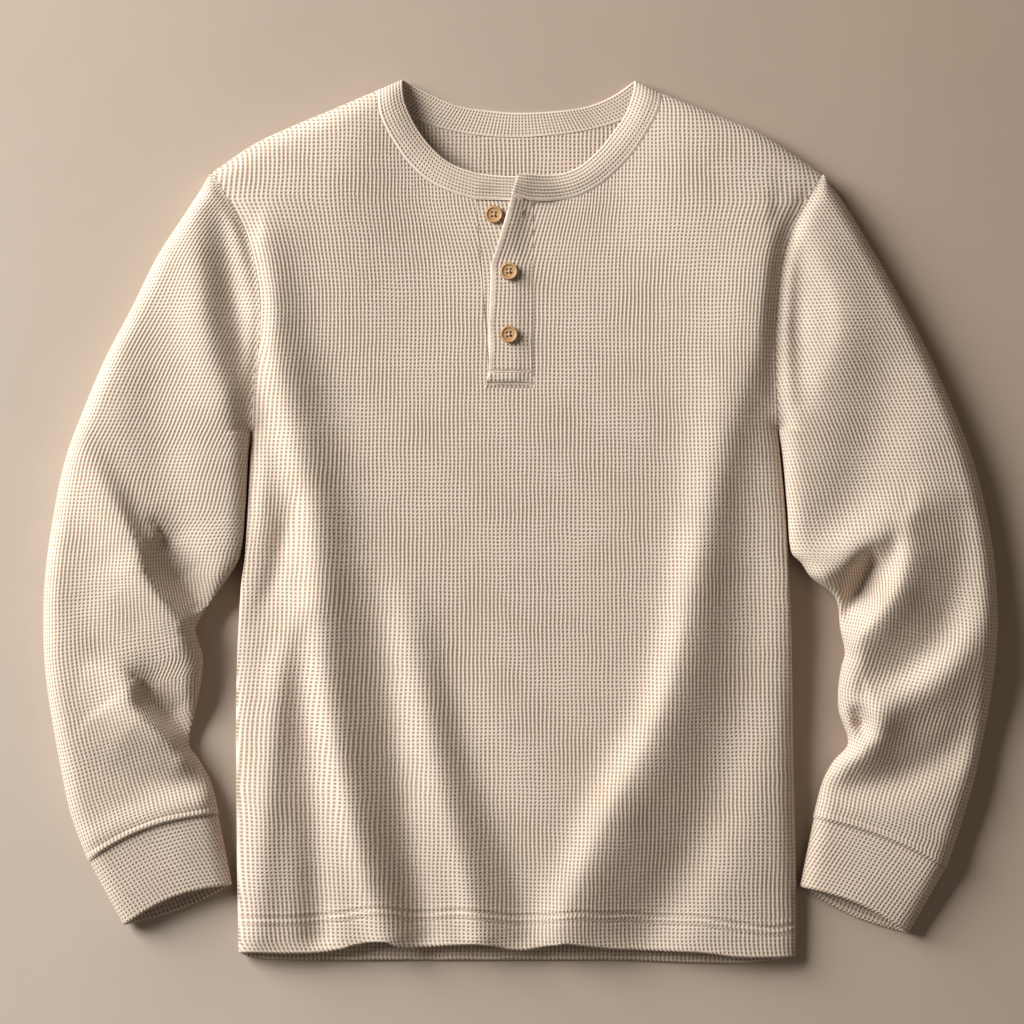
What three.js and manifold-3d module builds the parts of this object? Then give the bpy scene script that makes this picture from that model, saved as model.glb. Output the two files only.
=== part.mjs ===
// Henley shirt laid flat on a surface, front up: X to the right, Y toward the collar, Z up, millimetres
import * as THREE from 'three';
import { mergeVertices } from 'three/addons/utils/BufferGeometryUtils.js';
import Module from 'manifold-3d';

// Cloth
const WALL = 2;
const HEM_WALL = 3;
const BAND_WALL = 2.4;
const PLACKET_WALL = 1.8;
const SEAM_GAP = 0.3;

// Heights over the surface that the shirt lies on
const EDGE_HEIGHT = 7.5;
const BODY_HEIGHT = 25;
const SLEEVE_HEIGHT = 29;
const CUFF_SEAM_HEIGHT = 22;
const CUFF_MOUTH_HEIGHT = 19;

// Roundness of a laid edge: a tight roll, then a long soft rise, and the roll of the underside
const ROLL = 15;
const RISE = 64;
const ROLL_SHARE = 0.45;
const UNDER_ROLL = 12;

// The front sinks toward the neck, its hem lies lower than its chest, and the armhole seams pull in
const NECK_SLOPE = 0.036;
const NECK_SLOPE_FROM = 60;
const NECK_SLOPE_EASE = 40;
const NECK_SLOPE_HALF_WIDTH = [65, 150];
const HEM_LINE = -315;
const HEM_SINK = 9;
const HEM_SINK_LENGTH = 75;
const ARMHOLE_GROOVE = 6;
const ARMHOLE_GROOVE_WIDTH = 8;

// Buttons
const BUTTON_DIAMETER = 14;
const BUTTON_THICKNESS = 2.6;
const BUTTON_DISH = 0.7;
const BUTTON_RIM = 1.6;
const BUTTON_HOLE = 1.7;
const BUTTON_HOLE_RING = 1.9;
const BUTTON_SIDES = 18;

// Outlines, columns: x, y. Side seams run from the hem up to the armpit
const SIDE_LEFT = [
  [-225.6, -345.5],
  [-227.2, -263],
  [-227.2, -143],
  [-223.2, -55],
  [-219.5, -25],
  [-215.5, 60],
  [-214.9, 70.4],
];
const SIDE_RIGHT = [
  [221, -348],
  [221.8, -321],
  [218.9, -182],
  [216.6, -86],
  [212, 6.4],
  [206.4, 72.8],
];
// Armhole seams from the armpit up to the shoulder tip
const ARMHOLE_LEFT = [
  [-214.9, 70.4],
  [-211.6, 112.8],
  [-208, 140.8],
  [-206.4, 168],
  [-210.4, 201.6],
  [-216.8, 225.6],
  [-227.2, 246.4],
  [-246.4, 280],
];
const ARMHOLE_RIGHT = [
  [206.4, 72.8],
  [204, 113.6],
  [204, 148],
  [205.6, 175.2],
  [208, 198.4],
  [212, 217.6],
  [218.4, 236],
  [228, 254.4],
  [241.6, 278.4],
];
// Shoulder seams from the shoulder tip to the neckband
const SHOULDER_LEFT = [
  [-246.4, 280],
  [-212.8, 302.4],
  [-184, 316],
  [-155.2, 328],
  [-114.6, 345.4],
];
const SHOULDER_RIGHT = [
  [241.6, 278.4],
  [197.6, 308.4],
  [155.2, 326.4],
  [113.6, 343],
];
// Neckline of the front, left of the slit and right of it, from the shoulder down to the slit
const NECKLINE_LEFT = [
  [-114.6, 345.4],
  [-113.4, 330],
  [-109.8, 318],
  [-100, 300.6],
  [-89.6, 286],
  [-74.4, 272],
  [-54.4, 262.4],
  [-35.2, 256.6],
];
const NECKLINE_RIGHT = [
  [113.6, 343],
  [111.8, 331],
  [104.8, 315.9],
  [92.1, 296],
  [78.3, 280.8],
  [64, 268.5],
  [46.4, 259.4],
  [25.6, 255.6],
  [4.8, 256],
];
const NECKLINE_SLIT = [
  [-35.2, 256.6],
  [-15, 256.2],
  [4.8, 256],
];
// Neckline of the back, from left to right
const NECKLINE_BACK = [
  [-114.6, 345.4],
  [-102, 334],
  [-86, 323.6],
  [-62, 315],
  [-36, 310],
  [-6, 308],
  [22, 309.4],
  [50, 313],
  [74, 319],
  [96, 328.6],
  [113.6, 343],
];
// Free edge of the neckband: front left from the fold at the shoulder, front right, then the back
const BAND_EDGE_LEFT = [
  [-95.2, 353.6],
  [-94.5, 344],
  [-92.4, 333.7],
  [-84.3, 316],
  [-71.5, 298.6],
  [-57.3, 286.3],
  [-40, 279],
  [-20, 275.4],
  [2, 274.4],
];
const BAND_EDGE_RIGHT = [
  [92.8, 352.8],
  [92.3, 348],
  [90.6, 340.4],
  [84.4, 324.1],
  [74.2, 309.3],
  [64, 296.5],
  [45.6, 281.2],
  [25.6, 275.8],
  [-0.8, 276.8],
];
const BAND_EDGE_BACK = [
  [-95.2, 353.6],
  [-84.3, 348],
  [-69, 340.4],
  [-48.6, 332.2],
  [-20.8, 328.2],
  [-0.8, 326.8],
  [25.6, 328],
  [48, 330.6],
  [64, 335.3],
  [78.3, 342.4],
  [92.8, 352.8],
];
// Hem edges of the front and the back, from left to right
const HEM_FRONT = [
  [-225.6, -345.5],
  [-217.6, -344.3],
  [-183, -344.8],
  [-148, -342.4],
  [-128, -337.2],
  [-108.4, -335.4],
  [-94.1, -340],
  [-63.2, -339],
  [-33, -337.7],
  [0, -342.3],
  [17, -340],
  [36.5, -336.9],
  [61, -339.9],
  [98, -342.6],
  [142.6, -344],
  [176, -347.8],
  [221, -348],
];
const HEM_BACK = [
  [-225.6, -345.5],
  [-214.5, -349.4],
  [-168.6, -351.7],
  [-80, -351.4],
  [-6.4, -351.4],
  [80, -351.6],
  [131.4, -353.2],
  [176, -354],
  [198.7, -352.1],
  [221, -348],
];
// Outer edges of the sleeves, from the shoulder tip down to the cuff seam
const OUTER_LEFT = [
  [-246.4, 280],
  [-269.6, 244.8],
  [-290.4, 212.8],
  [-311.2, 171.2],
  [-332.8, 129.6],
  [-350.4, 88],
  [-364, 51.2],
  [-373.6, 7.2],
  [-380.8, -44.8],
  [-382.1, -79.2],
  [-380.8, -118.4],
  [-376, -154.4],
  [-368, -199.2],
  [-360, -236],
  [-346.4, -272.8],
];
const OUTER_RIGHT = [
  [241.6, 278.4],
  [258.4, 256.8],
  [287.2, 209.6],
  [315.2, 159.2],
  [337.6, 112.8],
  [363.2, 48.8],
  [377.6, -12.8],
  [383, -72.8],
  [380, -123.2],
  [368.8, -187.2],
  [360, -223.2],
  [342, -278.4],
];
// Inner edges of the sleeves, from the armpit past two nicks down to the cuff seam
const INNER_LEFT = [
  [-214.9, 70.4],
  [-217.2, 50],
  [-219.2, 10],
  [-223.4, -28],
  [-232.8, -44.8],
  [-246.4, -64],
  [-259.2, -84.8],
  [-257.6, -95],
  [-253.6, -108],
  [-255.2, -128.8],
  [-259.2, -149.6],
  [-265, -178],
  [-256.8, -191.2],
  [-247.2, -209.6],
  [-241.1, -234.4],
];
const INNER_RIGHT = [
  [206.4, 72.8],
  [209.6, 52],
  [213.4, 8],
  [216.4, -25],
  [224, -33.2],
  [232, -44.8],
  [252, -61.5],
  [256, -86.4],
  [259.7, -105.6],
  [256.8, -117.6],
  [254.4, -135.2],
  [255.2, -152.8],
  [262.6, -178],
  [251.2, -192],
  [242.4, -208],
  [234.6, -237],
];
// Cuff corners at the mouth, and how far each seam or mouth edge bows from its straight line
const CUFFS = {
  left: { outer: [-318.4, -323.2], inner: [-231.2, -290], seamBow: -8, topBow: -7.5, underBow: 4.3 },
  right: { outer: [312, -329.6], inner: [224.8, -291.6], seamBow: -5, topBow: -6.2, underBow: 5.3 },
};

// Folds: crest or trough lines in plan, heights at start, middle and end, widths to either side
// of the line as one walks along it. A trough has a negative height
const BODY_FOLDS = [
  { line: [[-206, 73], [-209, 33], [-214, -30]], heights: [1.5, 2.5, 0], left: 9, right: 14 },
  { line: [[-176, -45], [-192, -95], [-198, -190], [-201, -340]], heights: [0, 4, 3], left: 11, right: 18 },
  {
    line: [[-204, 238], [-186, 130], [-158, 20], [-146, -105], [-130, -215], [-108, -345]],
    heights: [1, 4.5, 5],
    left: 18,
    right: 26,
  },
  { line: [[-94, -25], [-77, -127], [-58, -215], [-34, -345]], heights: [0, 4, 4.5], left: 22, right: 22 },
  {
    line: [[180, 222], [165, 93], [148, -31], [116, -153], [78, -252], [45, -345]],
    heights: [1, 5, 6],
    left: 26,
    right: 32,
  },
  { line: [[-122, -30], [-104, -127], [-88, -215], [-78, -345]], heights: [0, -3, -4], left: 16, right: 16 },
  { line: [[4, -215], [-6, -280], [-8, -345]], heights: [0, -2.5, -3], left: 24, right: 24 },
];
const SLEEVE_FOLDS = {
  left: [
    { line: [[-254, 226], [-244, 140], [-238, 55], [-234, -18]], heights: [1, 4, 3], left: 9, right: 22 },
    { line: [[-343, 66], [-322, 30], [-300, 4]], heights: [0, 4, 0], left: 7, right: 10 },
    { line: [[-310, -25], [-288, -62], [-264, -88]], heights: [0, 6, 5], left: 6, right: 18 },
    { line: [[-292, -22], [-274, -54], [-256, -80]], heights: [0, -4, -5], left: 9, right: 7 },
    { line: [[-316, -132], [-290, -164], [-268, -190]], heights: [0, 5, 4], left: 6, right: 16 },
    { line: [[-300, -126], [-282, -152], [-264, -178]], heights: [0, -4, -5], left: 9, right: 7 },
    { line: [[-346, -262], [-296, -236], [-250, -224]], heights: [2, 3, 2], left: 12, right: 9 },
  ],
  right: [
    { line: [[246, 216], [244, 150], [230, 97]], heights: [1, 3.5, 0], left: 18, right: 20 },
    { line: [[336, 26], [288, -8], [240, -41]], heights: [0, 5, 3], left: 11, right: 20 },
    { line: [[316, -8], [308, -56], [288, -100], [262, -130]], heights: [0, 4, 3], left: 14, right: 14 },
    { line: [[280, -34], [268, -60], [262, -80]], heights: [0, -5, -2], left: 12, right: 12 },
    { line: [[370, -80], [340, -135], [300, -158], [264, -170]], heights: [0, 4, 3], left: 14, right: 18 },
    { line: [[272, -157], [271, -160], [270, -163]], heights: [-3, -4, -3], left: 12, right: 12 },
    { line: [[346, -262], [296, -232], [246, -222]], heights: [2, 3, 2], left: 9, right: 12 },
  ],
};

// Shares along each edge where a section is taken, closer together where the cloth rolls over
const ARMHOLE_SHARES = [0, 0.02, 0.07, 0.15, 0.27, 0.4, 0.54, 0.68, 0.8, 0.89, 0.95, 0.98, 1];
const SHOULDER_SHARES = [0, 0.02, 0.07, 0.17, 0.32, 0.52, 0.76, 1];
const NECKLINE_SHARES = [0, 0.03, 0.1, 0.22, 0.36, 0.52, 0.68, 0.84, 1];
const HEM_EDGE_SHARES = [0, 0.004, 0.014, 0.034, 0.062, 0.094, 0.126, 0.158];
const HEM_MIDDLE_SHARES = [0.183, 0.208, 0.236, 0.27, 0.31, 0.352, 0.395, 0.44];
const COLUMN_FLARE = 6;
const SEAM_BLEND = 10;
const TIP_WALL_SHARE = 0.2;
const SIDE_SECTIONS = 14;
const BACK_SIDE_SECTIONS = 8;
const SLEEVE_SECTIONS = 15;
const CUFF_SECTIONS = 4;
const TOP_SHARES = [0, 0.012, 0.04, 0.1, 0.2, 0.35, 0.5, 0.65, 0.8, 0.9, 0.96, 0.988, 1];
const UNDER_SHARES = [0.965, 0.89, 0.5, 0.11, 0.035, 0];
const BACK_NECKLINE_SECTIONS = 12;
const BAND_SHARES = [0, 0.14, 0.5, 0.86, 1];
const BAND_BULGE = 1.3;
// Seam ends of the neckband's two front ends. The left one runs on under the placket
const BAND_END_LEFT = [1.6, 255.4];
const BAND_END_RIGHT = [[4.8, 256.8], [-3.6, 260.2]];

// Placket, columns: x, y, from the neckline down
const SLIT_LEFT = [[-35.2, 256.6], [-24.8, 120]];
const SLIT_RIGHT = [[4.8, 256], [4.8, 120]];
const OVER_LEFT = [
  [-4, 258.9],
  [-18.4, 216.8],
  [-22.4, 204.8],
  [-24, 160],
  [-24, 119.2],
  [-27.6, 106.4],
];
const OVER_RIGHT = [
  [10.4, 254.4],
  [10.4, 216],
  [10.4, 204],
  [10.4, 160],
  [10.4, 119.2],
  [12.4, 106.4],
];
const OVER_SHARES = [0, 0.08, 0.3, 0.55, 0.8, 1];
const UNDER_RIGHT = [[1.2, 255.6], [1.2, 120.3]];
const UNDER_COLUMNS = 3;
const UNDER_ROWS = 6;
const EDGE_CLEARANCE = 0.4;
const BUTTONS = [
  { x: -20.8, y: 244.8, over: false },
  { x: -8.8, y: 199.2, over: true },
  { x: -8.8, y: 148.8, over: true },
];

const wasm = await Module();
wasm.setup();

const lerp = (a, b, t) => a + (b - a) * t;
const clamp01 = (t) => Math.min(1, Math.max(0, t));
const smoothstep = (from, to, value) => {
  const t = clamp01((value - from) / (to - from));
  return t * t * (3 - 2 * t);
};

// Quarter-ellipse rise from 0 at the edge to 1 at the full width
const roll = (distance, width) => {
  const left = 1 - Math.min(Math.max(distance, 0) / width, 1);
  return Math.sqrt(1 - left * left);
};
const topRise = (distance) => ROLL_SHARE * roll(distance, ROLL) + (1 - ROLL_SHARE) * roll(distance, RISE);
const underRise = (distance) => roll(distance, UNDER_ROLL);

// Point at a share of a smooth curve through the rows of a table
function curvePoint(rows, share) {
  const lengths = [0];
  for (let i = 1; i < rows.length; i += 1) {
    lengths.push(lengths[i - 1] + Math.hypot(rows[i][0] - rows[i - 1][0], rows[i][1] - rows[i - 1][1]));
  }
  const target = share * lengths[lengths.length - 1];
  let k = 0;
  while (k < rows.length - 2 && lengths[k + 1] < target) {
    k += 1;
  }
  const slope = (i, axis) => {
    const before = Math.max(i - 1, 0);
    const after = Math.min(i + 1, rows.length - 1);
    return (rows[after][axis] - rows[before][axis]) / (lengths[after] - lengths[before]);
  };
  const span = lengths[k + 1] - lengths[k];
  const t = clamp01((target - lengths[k]) / span);
  const t2 = t * t;
  const t3 = t2 * t;
  return [0, 1].map(
    (axis) =>
      (2 * t3 - 3 * t2 + 1) * rows[k][axis] +
      (t3 - 2 * t2 + t) * span * slope(k, axis) +
      (3 * t2 - 2 * t3) * rows[k + 1][axis] +
      (t3 - t2) * span * slope(k + 1, axis),
  );
}

const curve = (rows, shares) => shares.map((share) => curvePoint(rows, share));
const evenShares = (count) => Array.from({ length: count + 1 }, (_, i) => i / count);
const joined = (...runs) => runs.flatMap((run, i) => (i === 0 ? run : run.slice(1)));
const pathLength = (path) =>
  path.slice(1).reduce((sum, p, i) => sum + Math.hypot(p[0] - path[i][0], p[1] - path[i][1]), 0);

// Nearest point of a line of points: distance, share along it, and the side it is passed on
function nearest(path, x, y) {
  let best = { distance: Infinity, share: 0, side: 1 };
  for (let i = 0; i < path.length - 1; i += 1) {
    const [ax, ay] = path[i];
    const dx = path[i + 1][0] - ax;
    const dy = path[i + 1][1] - ay;
    const t = clamp01(((x - ax) * dx + (y - ay) * dy) / (dx * dx + dy * dy));
    const offX = x - ax - t * dx;
    const offY = y - ay - t * dy;
    const distance = Math.hypot(offX, offY);
    if (distance < best.distance) {
      best = { distance, share: (i + t) / (path.length - 1), side: dx * offY - dy * offX > 0 ? 1 : -1 };
    }
  }
  return best;
}

const FOLD_STEPS = 12;
const traced = (folds) => folds.map((fold) => ({ ...fold, path: curve(fold.line, evenShares(FOLD_STEPS)) }));

function foldHeight(folds, x, y) {
  let sum = 0;
  for (const { path, heights, left, right } of folds) {
    const { distance, share, side } = nearest(path, x, y);
    const width = side > 0 ? left : right;
    const height =
      share < 0.5 ? lerp(heights[0], heights[1], share * 2) : lerp(heights[1], heights[2], share * 2 - 1);
    sum += height * Math.exp(-((distance / width) ** 2));
  }
  return sum;
}

// The body's edges where the front turns over to the back
const EDGE_STEPS = 24;
const edgeShares = evenShares(EDGE_STEPS);
const bodyEdges = [
  curve(SIDE_LEFT, edgeShares),
  curve(SIDE_RIGHT, edgeShares),
  [...curve(SHOULDER_LEFT, edgeShares), BAND_EDGE_LEFT[0]],
  [...curve(SHOULDER_RIGHT, edgeShares), BAND_EDGE_RIGHT[0]],
];
const armholes = [curve(ARMHOLE_LEFT, edgeShares), curve(ARMHOLE_RIGHT, edgeShares)];
const bodyFolds = traced(BODY_FOLDS);
const hemLevel = HEM_FRONT[0][1];

function neckSink(x, y) {
  const past = y - NECK_SLOPE_FROM;
  const easing = Math.max(past, 0) ** 2 / (2 * NECK_SLOPE_EASE);
  const eased = past < NECK_SLOPE_EASE ? easing : past - NECK_SLOPE_EASE / 2;
  const [full, none] = NECK_SLOPE_HALF_WIDTH;
  return NECK_SLOPE * eased * (1 - smoothstep(full, none, Math.abs(x)));
}

// Height of the body's outer face on top, and of its underside
function bodyTop(x, y) {
  const rise = bodyEdges.reduce((product, edge) => product * topRise(nearest(edge, x, y).distance), 1);
  const hemSink = HEM_SINK * (1 - smoothstep(0, HEM_SINK_LENGTH, y - hemLevel));
  const groove = armholes.reduce((sum, path) => {
    const { distance, share } = nearest(path, x, y);
    const depth = ARMHOLE_GROOVE * Math.sin(Math.PI * share);
    return sum + depth * Math.exp(-((distance / ARMHOLE_GROOVE_WIDTH) ** 2));
  }, 0);
  const full = BODY_HEIGHT - EDGE_HEIGHT - hemSink - neckSink(x, y) - groove + foldHeight(bodyFolds, x, y);
  return EDGE_HEIGHT + SEAM_GAP / 2 + rise * full;
}

function bodyUnder(x, y) {
  const rise = bodyEdges.reduce((product, edge) => product * underRise(nearest(edge, x, y).distance), 1);
  return (EDGE_HEIGHT - SEAM_GAP / 2) * (1 - rise);
}

// Horizontal unit vectors across a line of points, at each of them
function acrossPath(path) {
  return path.map((_, i) => {
    const a = path[Math.max(i - 1, 0)];
    const b = path[Math.min(i + 1, path.length - 1)];
    return new THREE.Vector3(b[1] - a[1], a[0] - b[0], 0).normalize();
  });
}

// Outward normals of a grid of points. hand is 1 where across x along faces out, and -1 where it faces in
function gridNormals(grid, hand, closedFrom) {
  const columns = grid[0].length;
  return grid.map((row, i) =>
    row.map((_, j) => {
      const closed = i >= closedFrom;
      const before = closed && j === 0 ? columns - 2 : Math.max(j - 1, 0);
      const after = closed && j === columns - 1 ? 1 : Math.min(j + 1, columns - 1);
      const across = row[after].clone().sub(row[before]);
      const along = grid[Math.min(i + 1, grid.length - 1)][j].clone().sub(grid[Math.max(i - 1, 0)][j]);
      return across.cross(along).normalize().multiplyScalar(hand);
    }),
  );
}

// At a seam the wall is cut straight across: its normal loses what points over the seam
function cutNormal(normal, across) {
  return normal.addScaledVector(across, -normal.dot(across)).normalize();
}

// At a laid edge the wall's normal is level and faces away from the piece
function foldNormal(normal, across) {
  const outward = Math.sign(normal.dot(across)) || 1;
  return normal.copy(across).multiplyScalar(outward);
}

// Closed wall between an outer grid and its inner copy. From row closedFrom on, the last column
// is the first one again, so the wall is a tube there
function wallGeometry(outer, inner, closedFrom = Infinity) {
  const rows = outer.length;
  const columns = outer[0].length;
  const positions = [...outer.flat(), ...inner.flat()].flatMap((p) => [p.x, p.y, p.z]);
  const innerStart = rows * columns;
  const at = (i, j) => i * columns + (j === columns - 1 && i >= closedFrom ? 0 : j);
  const index = [];
  const quad = (a, b, c, d) => index.push(a, b, c, a, c, d);
  for (let i = 0; i < rows - 1; i += 1) {
    for (let j = 0; j < columns - 1; j += 1) {
      const corners = [at(i, j), at(i, j + 1), at(i + 1, j + 1), at(i + 1, j)];
      quad(...corners);
      quad(...corners.reverse().map((corner) => corner + innerStart));
    }
    if (i < closedFrom) {
      quad(at(i, 0), at(i + 1, 0), at(i + 1, 0) + innerStart, at(i, 0) + innerStart);
      const last = columns - 1;
      quad(at(i + 1, last), at(i, last), at(i, last) + innerStart, at(i + 1, last) + innerStart);
    }
  }
  for (let j = 0; j < columns - 1; j += 1) {
    const end = rows - 1;
    quad(at(0, j + 1), at(0, j), at(0, j) + innerStart, at(0, j + 1) + innerStart);
    quad(at(end, j), at(end, j + 1), at(end, j + 1) + innerStart, at(end, j) + innerStart);
  }
  const geometry = new THREE.BufferGeometry();
  geometry.setAttribute('position', new THREE.Float32BufferAttribute(positions, 3));
  geometry.setIndex(index);
  return facingOut(geometry);
}

// Turns every triangle over when the faces of a closed mesh point in
function facingOut(geometry) {
  const p = geometry.getAttribute('position');
  const index = geometry.getIndex();
  let volume = 0;
  const corner = (i) => new THREE.Vector3().fromBufferAttribute(p, index.getX(i));
  for (let i = 0; i < index.count; i += 3) {
    volume += corner(i).dot(corner(i + 1).cross(corner(i + 2)));
  }
  if (volume < 0) {
    for (let i = 0; i < index.count; i += 3) {
      const first = index.getX(i);
      index.setX(i, index.getX(i + 1));
      index.setX(i + 1, first);
    }
  }
  return geometry;
}

const insetBy = (outer, normals, wallAt) =>
  outer.map((row, i) => row.map((p, j) => p.clone().addScaledVector(normals[i][j], -wallAt(p, i, j))));

function toManifold(geometry) {
  const bare = geometry.clone();
  bare.deleteAttribute('normal');
  bare.deleteAttribute('uv');
  const merged = mergeVertices(bare, 1e-4);
  return new wasm.Manifold(
    new wasm.Mesh({
      numProp: 3,
      vertProperties: new Float32Array(merged.getAttribute('position').array),
      triVerts: new Uint32Array(merged.getIndex().array),
    }),
  );
}

function fromManifold(solid) {
  const mesh = solid.getMesh();
  const geometry = new THREE.BufferGeometry();
  geometry.setAttribute('position', new THREE.Float32BufferAttribute(mesh.vertProperties, 3));
  geometry.setIndex([...mesh.triVerts]);
  return geometry;
}

const knit = () => new THREE.MeshStandardMaterial({ color: 0xc3b09c, roughness: 0.95, metalness: 0 });
const wood = () => new THREE.MeshStandardMaterial({ color: 0xb88f67, roughness: 0.5, metalness: 0 });

const shirt = new THREE.Group();

function addPiece(name, geometry, material) {
  const mesh = new THREE.Mesh(geometry, material);
  mesh.name = name;
  shirt.add(mesh);
}

// Body panel as a patch between its hem, sides and top edge. Columns keep their place over the hem
// for most of the height and reach their place on the top edge near it
function panelPlan(hem, top, left, right, levels) {
  return left.map((leftPoint, i) =>
    top.map((topPoint, j) => {
      const u = hem.shares[j];
      return [0, 1].map((axis) => {
        const v = axis === 0 ? levels[i] ** COLUMN_FLARE : levels[i];
        const sides = lerp(leftPoint[axis], right[i][axis], u);
        const ends = lerp(hem.points[j][axis], topPoint[axis], v);
        const corners = lerp(
          lerp(left[0][axis], right[0][axis], u),
          lerp(left[left.length - 1][axis], right[right.length - 1][axis], u),
          v,
        );
        return sides + ends - corners;
      });
    }),
  );
}

const armholeUp = { left: curve(ARMHOLE_LEFT, ARMHOLE_SHARES), right: curve(ARMHOLE_RIGHT, ARMHOLE_SHARES) };
const armholeCount = ARMHOLE_SHARES.length - 1;
const armholeAcross = { left: acrossPath(armholeUp.left), right: acrossPath(armholeUp.right) };
const necklineLeft = curve(NECKLINE_LEFT, NECKLINE_SHARES);
const necklineRight = curve(NECKLINE_RIGHT, NECKLINE_SHARES);
const frontNeckline = joined(necklineLeft, NECKLINE_SLIT, [...necklineRight].reverse());
const backNeckline = curve(NECKLINE_BACK, evenShares(BACK_NECKLINE_SECTIONS));

// One body panel. height gives its outer face, hand its facing
function bodyPanel(neckline, hemTable, hemShares, sideSections, height, hand) {
  const shoulderLeft = curve(SHOULDER_LEFT, SHOULDER_SHARES);
  const shoulderRight = curve(SHOULDER_RIGHT, SHOULDER_SHARES).reverse();
  const top = joined(shoulderLeft, neckline, shoulderRight);
  const hem = { shares: hemShares, points: curve(hemTable, hemShares) };
  const sideShares = evenShares(sideSections);
  const left = joined(curve(SIDE_LEFT, sideShares), armholeUp.left);
  const right = joined(curve(SIDE_RIGHT, sideShares), armholeUp.right);
  const levels = left.map((point) => (point[1] - left[0][1]) / (left[left.length - 1][1] - left[0][1]));
  const plan = panelPlan(hem, top, left, right, levels);
  const outer = plan.map((row) => row.map(([x, y]) => new THREE.Vector3(x, y, height(x, y))));
  const normals = gridNormals(outer, hand, Infinity);
  const lastRow = outer.length - 1;
  const lastColumn = top.length - 1;
  const topAcross = acrossPath(top);
  const neckFrom = shoulderLeft.length - 1;
  const neckTo = lastColumn - neckFrom;
  for (const [column, path] of [[0, left], [lastColumn, right]]) {
    const across = acrossPath(path);
    for (let i = 0; i <= lastRow; i += 1) {
      const turn = i <= sideSections ? foldNormal : cutNormal;
      turn(normals[i][column], across[i]);
    }
  }
  for (let j = 0; j <= lastColumn; j += 1) {
    const turn = j <= neckFrom || j >= neckTo ? foldNormal : cutNormal;
    turn(normals[lastRow][j], topAcross[j]);
  }
  const wallAt = (p) => lerp(HEM_WALL, WALL, smoothstep(HEM_LINE - WALL, HEM_LINE + WALL, p.y));
  return wallGeometry(outer, insetBy(outer, normals, wallAt));
}

// Shares of the hem under each column of the front: shoulder columns, neckline columns, slit
const mirrored = (shares) => [...shares].reverse().map((share) => 1 - share);
const frontHemShares = [
  ...HEM_EDGE_SHARES,
  ...HEM_MIDDLE_SHARES,
  0.5,
  ...mirrored(HEM_MIDDLE_SHARES),
  ...mirrored(HEM_EDGE_SHARES),
];
const hemNeck = [HEM_EDGE_SHARES.at(-1), 1 - HEM_EDGE_SHARES.at(-1)];
const backHemShares = [
  ...HEM_EDGE_SHARES,
  ...evenShares(BACK_NECKLINE_SECTIONS).slice(1, -1).map((share) => lerp(...hemNeck, share)),
  ...mirrored(HEM_EDGE_SHARES),
];

// Front panel, slit open from the neckline down to the placket's foot
function frontPanel() {
  const panel = bodyPanel(frontNeckline, HEM_FRONT, frontHemShares, SIDE_SECTIONS, bodyTop, 1);
  const [leftTop, leftFoot] = SLIT_LEFT;
  const [rightTop, rightFoot] = SLIT_RIGHT;
  const beyond = 1.15;
  const outline = new THREE.Shape([
    new THREE.Vector2(lerp(leftFoot[0], leftTop[0], beyond), lerp(leftFoot[1], leftTop[1], beyond)),
    new THREE.Vector2(...leftFoot),
    new THREE.Vector2(...rightFoot),
    new THREE.Vector2(lerp(rightFoot[0], rightTop[0], beyond), lerp(rightFoot[1], rightTop[1], beyond)),
  ]);
  const cutter = new THREE.ExtrudeGeometry(outline, { depth: 2 * BODY_HEIGHT, bevelEnabled: false });
  return fromManifold(toManifold(panel).subtract(toManifold(facingOut(mergeVertices(cutter)))));
}

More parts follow.
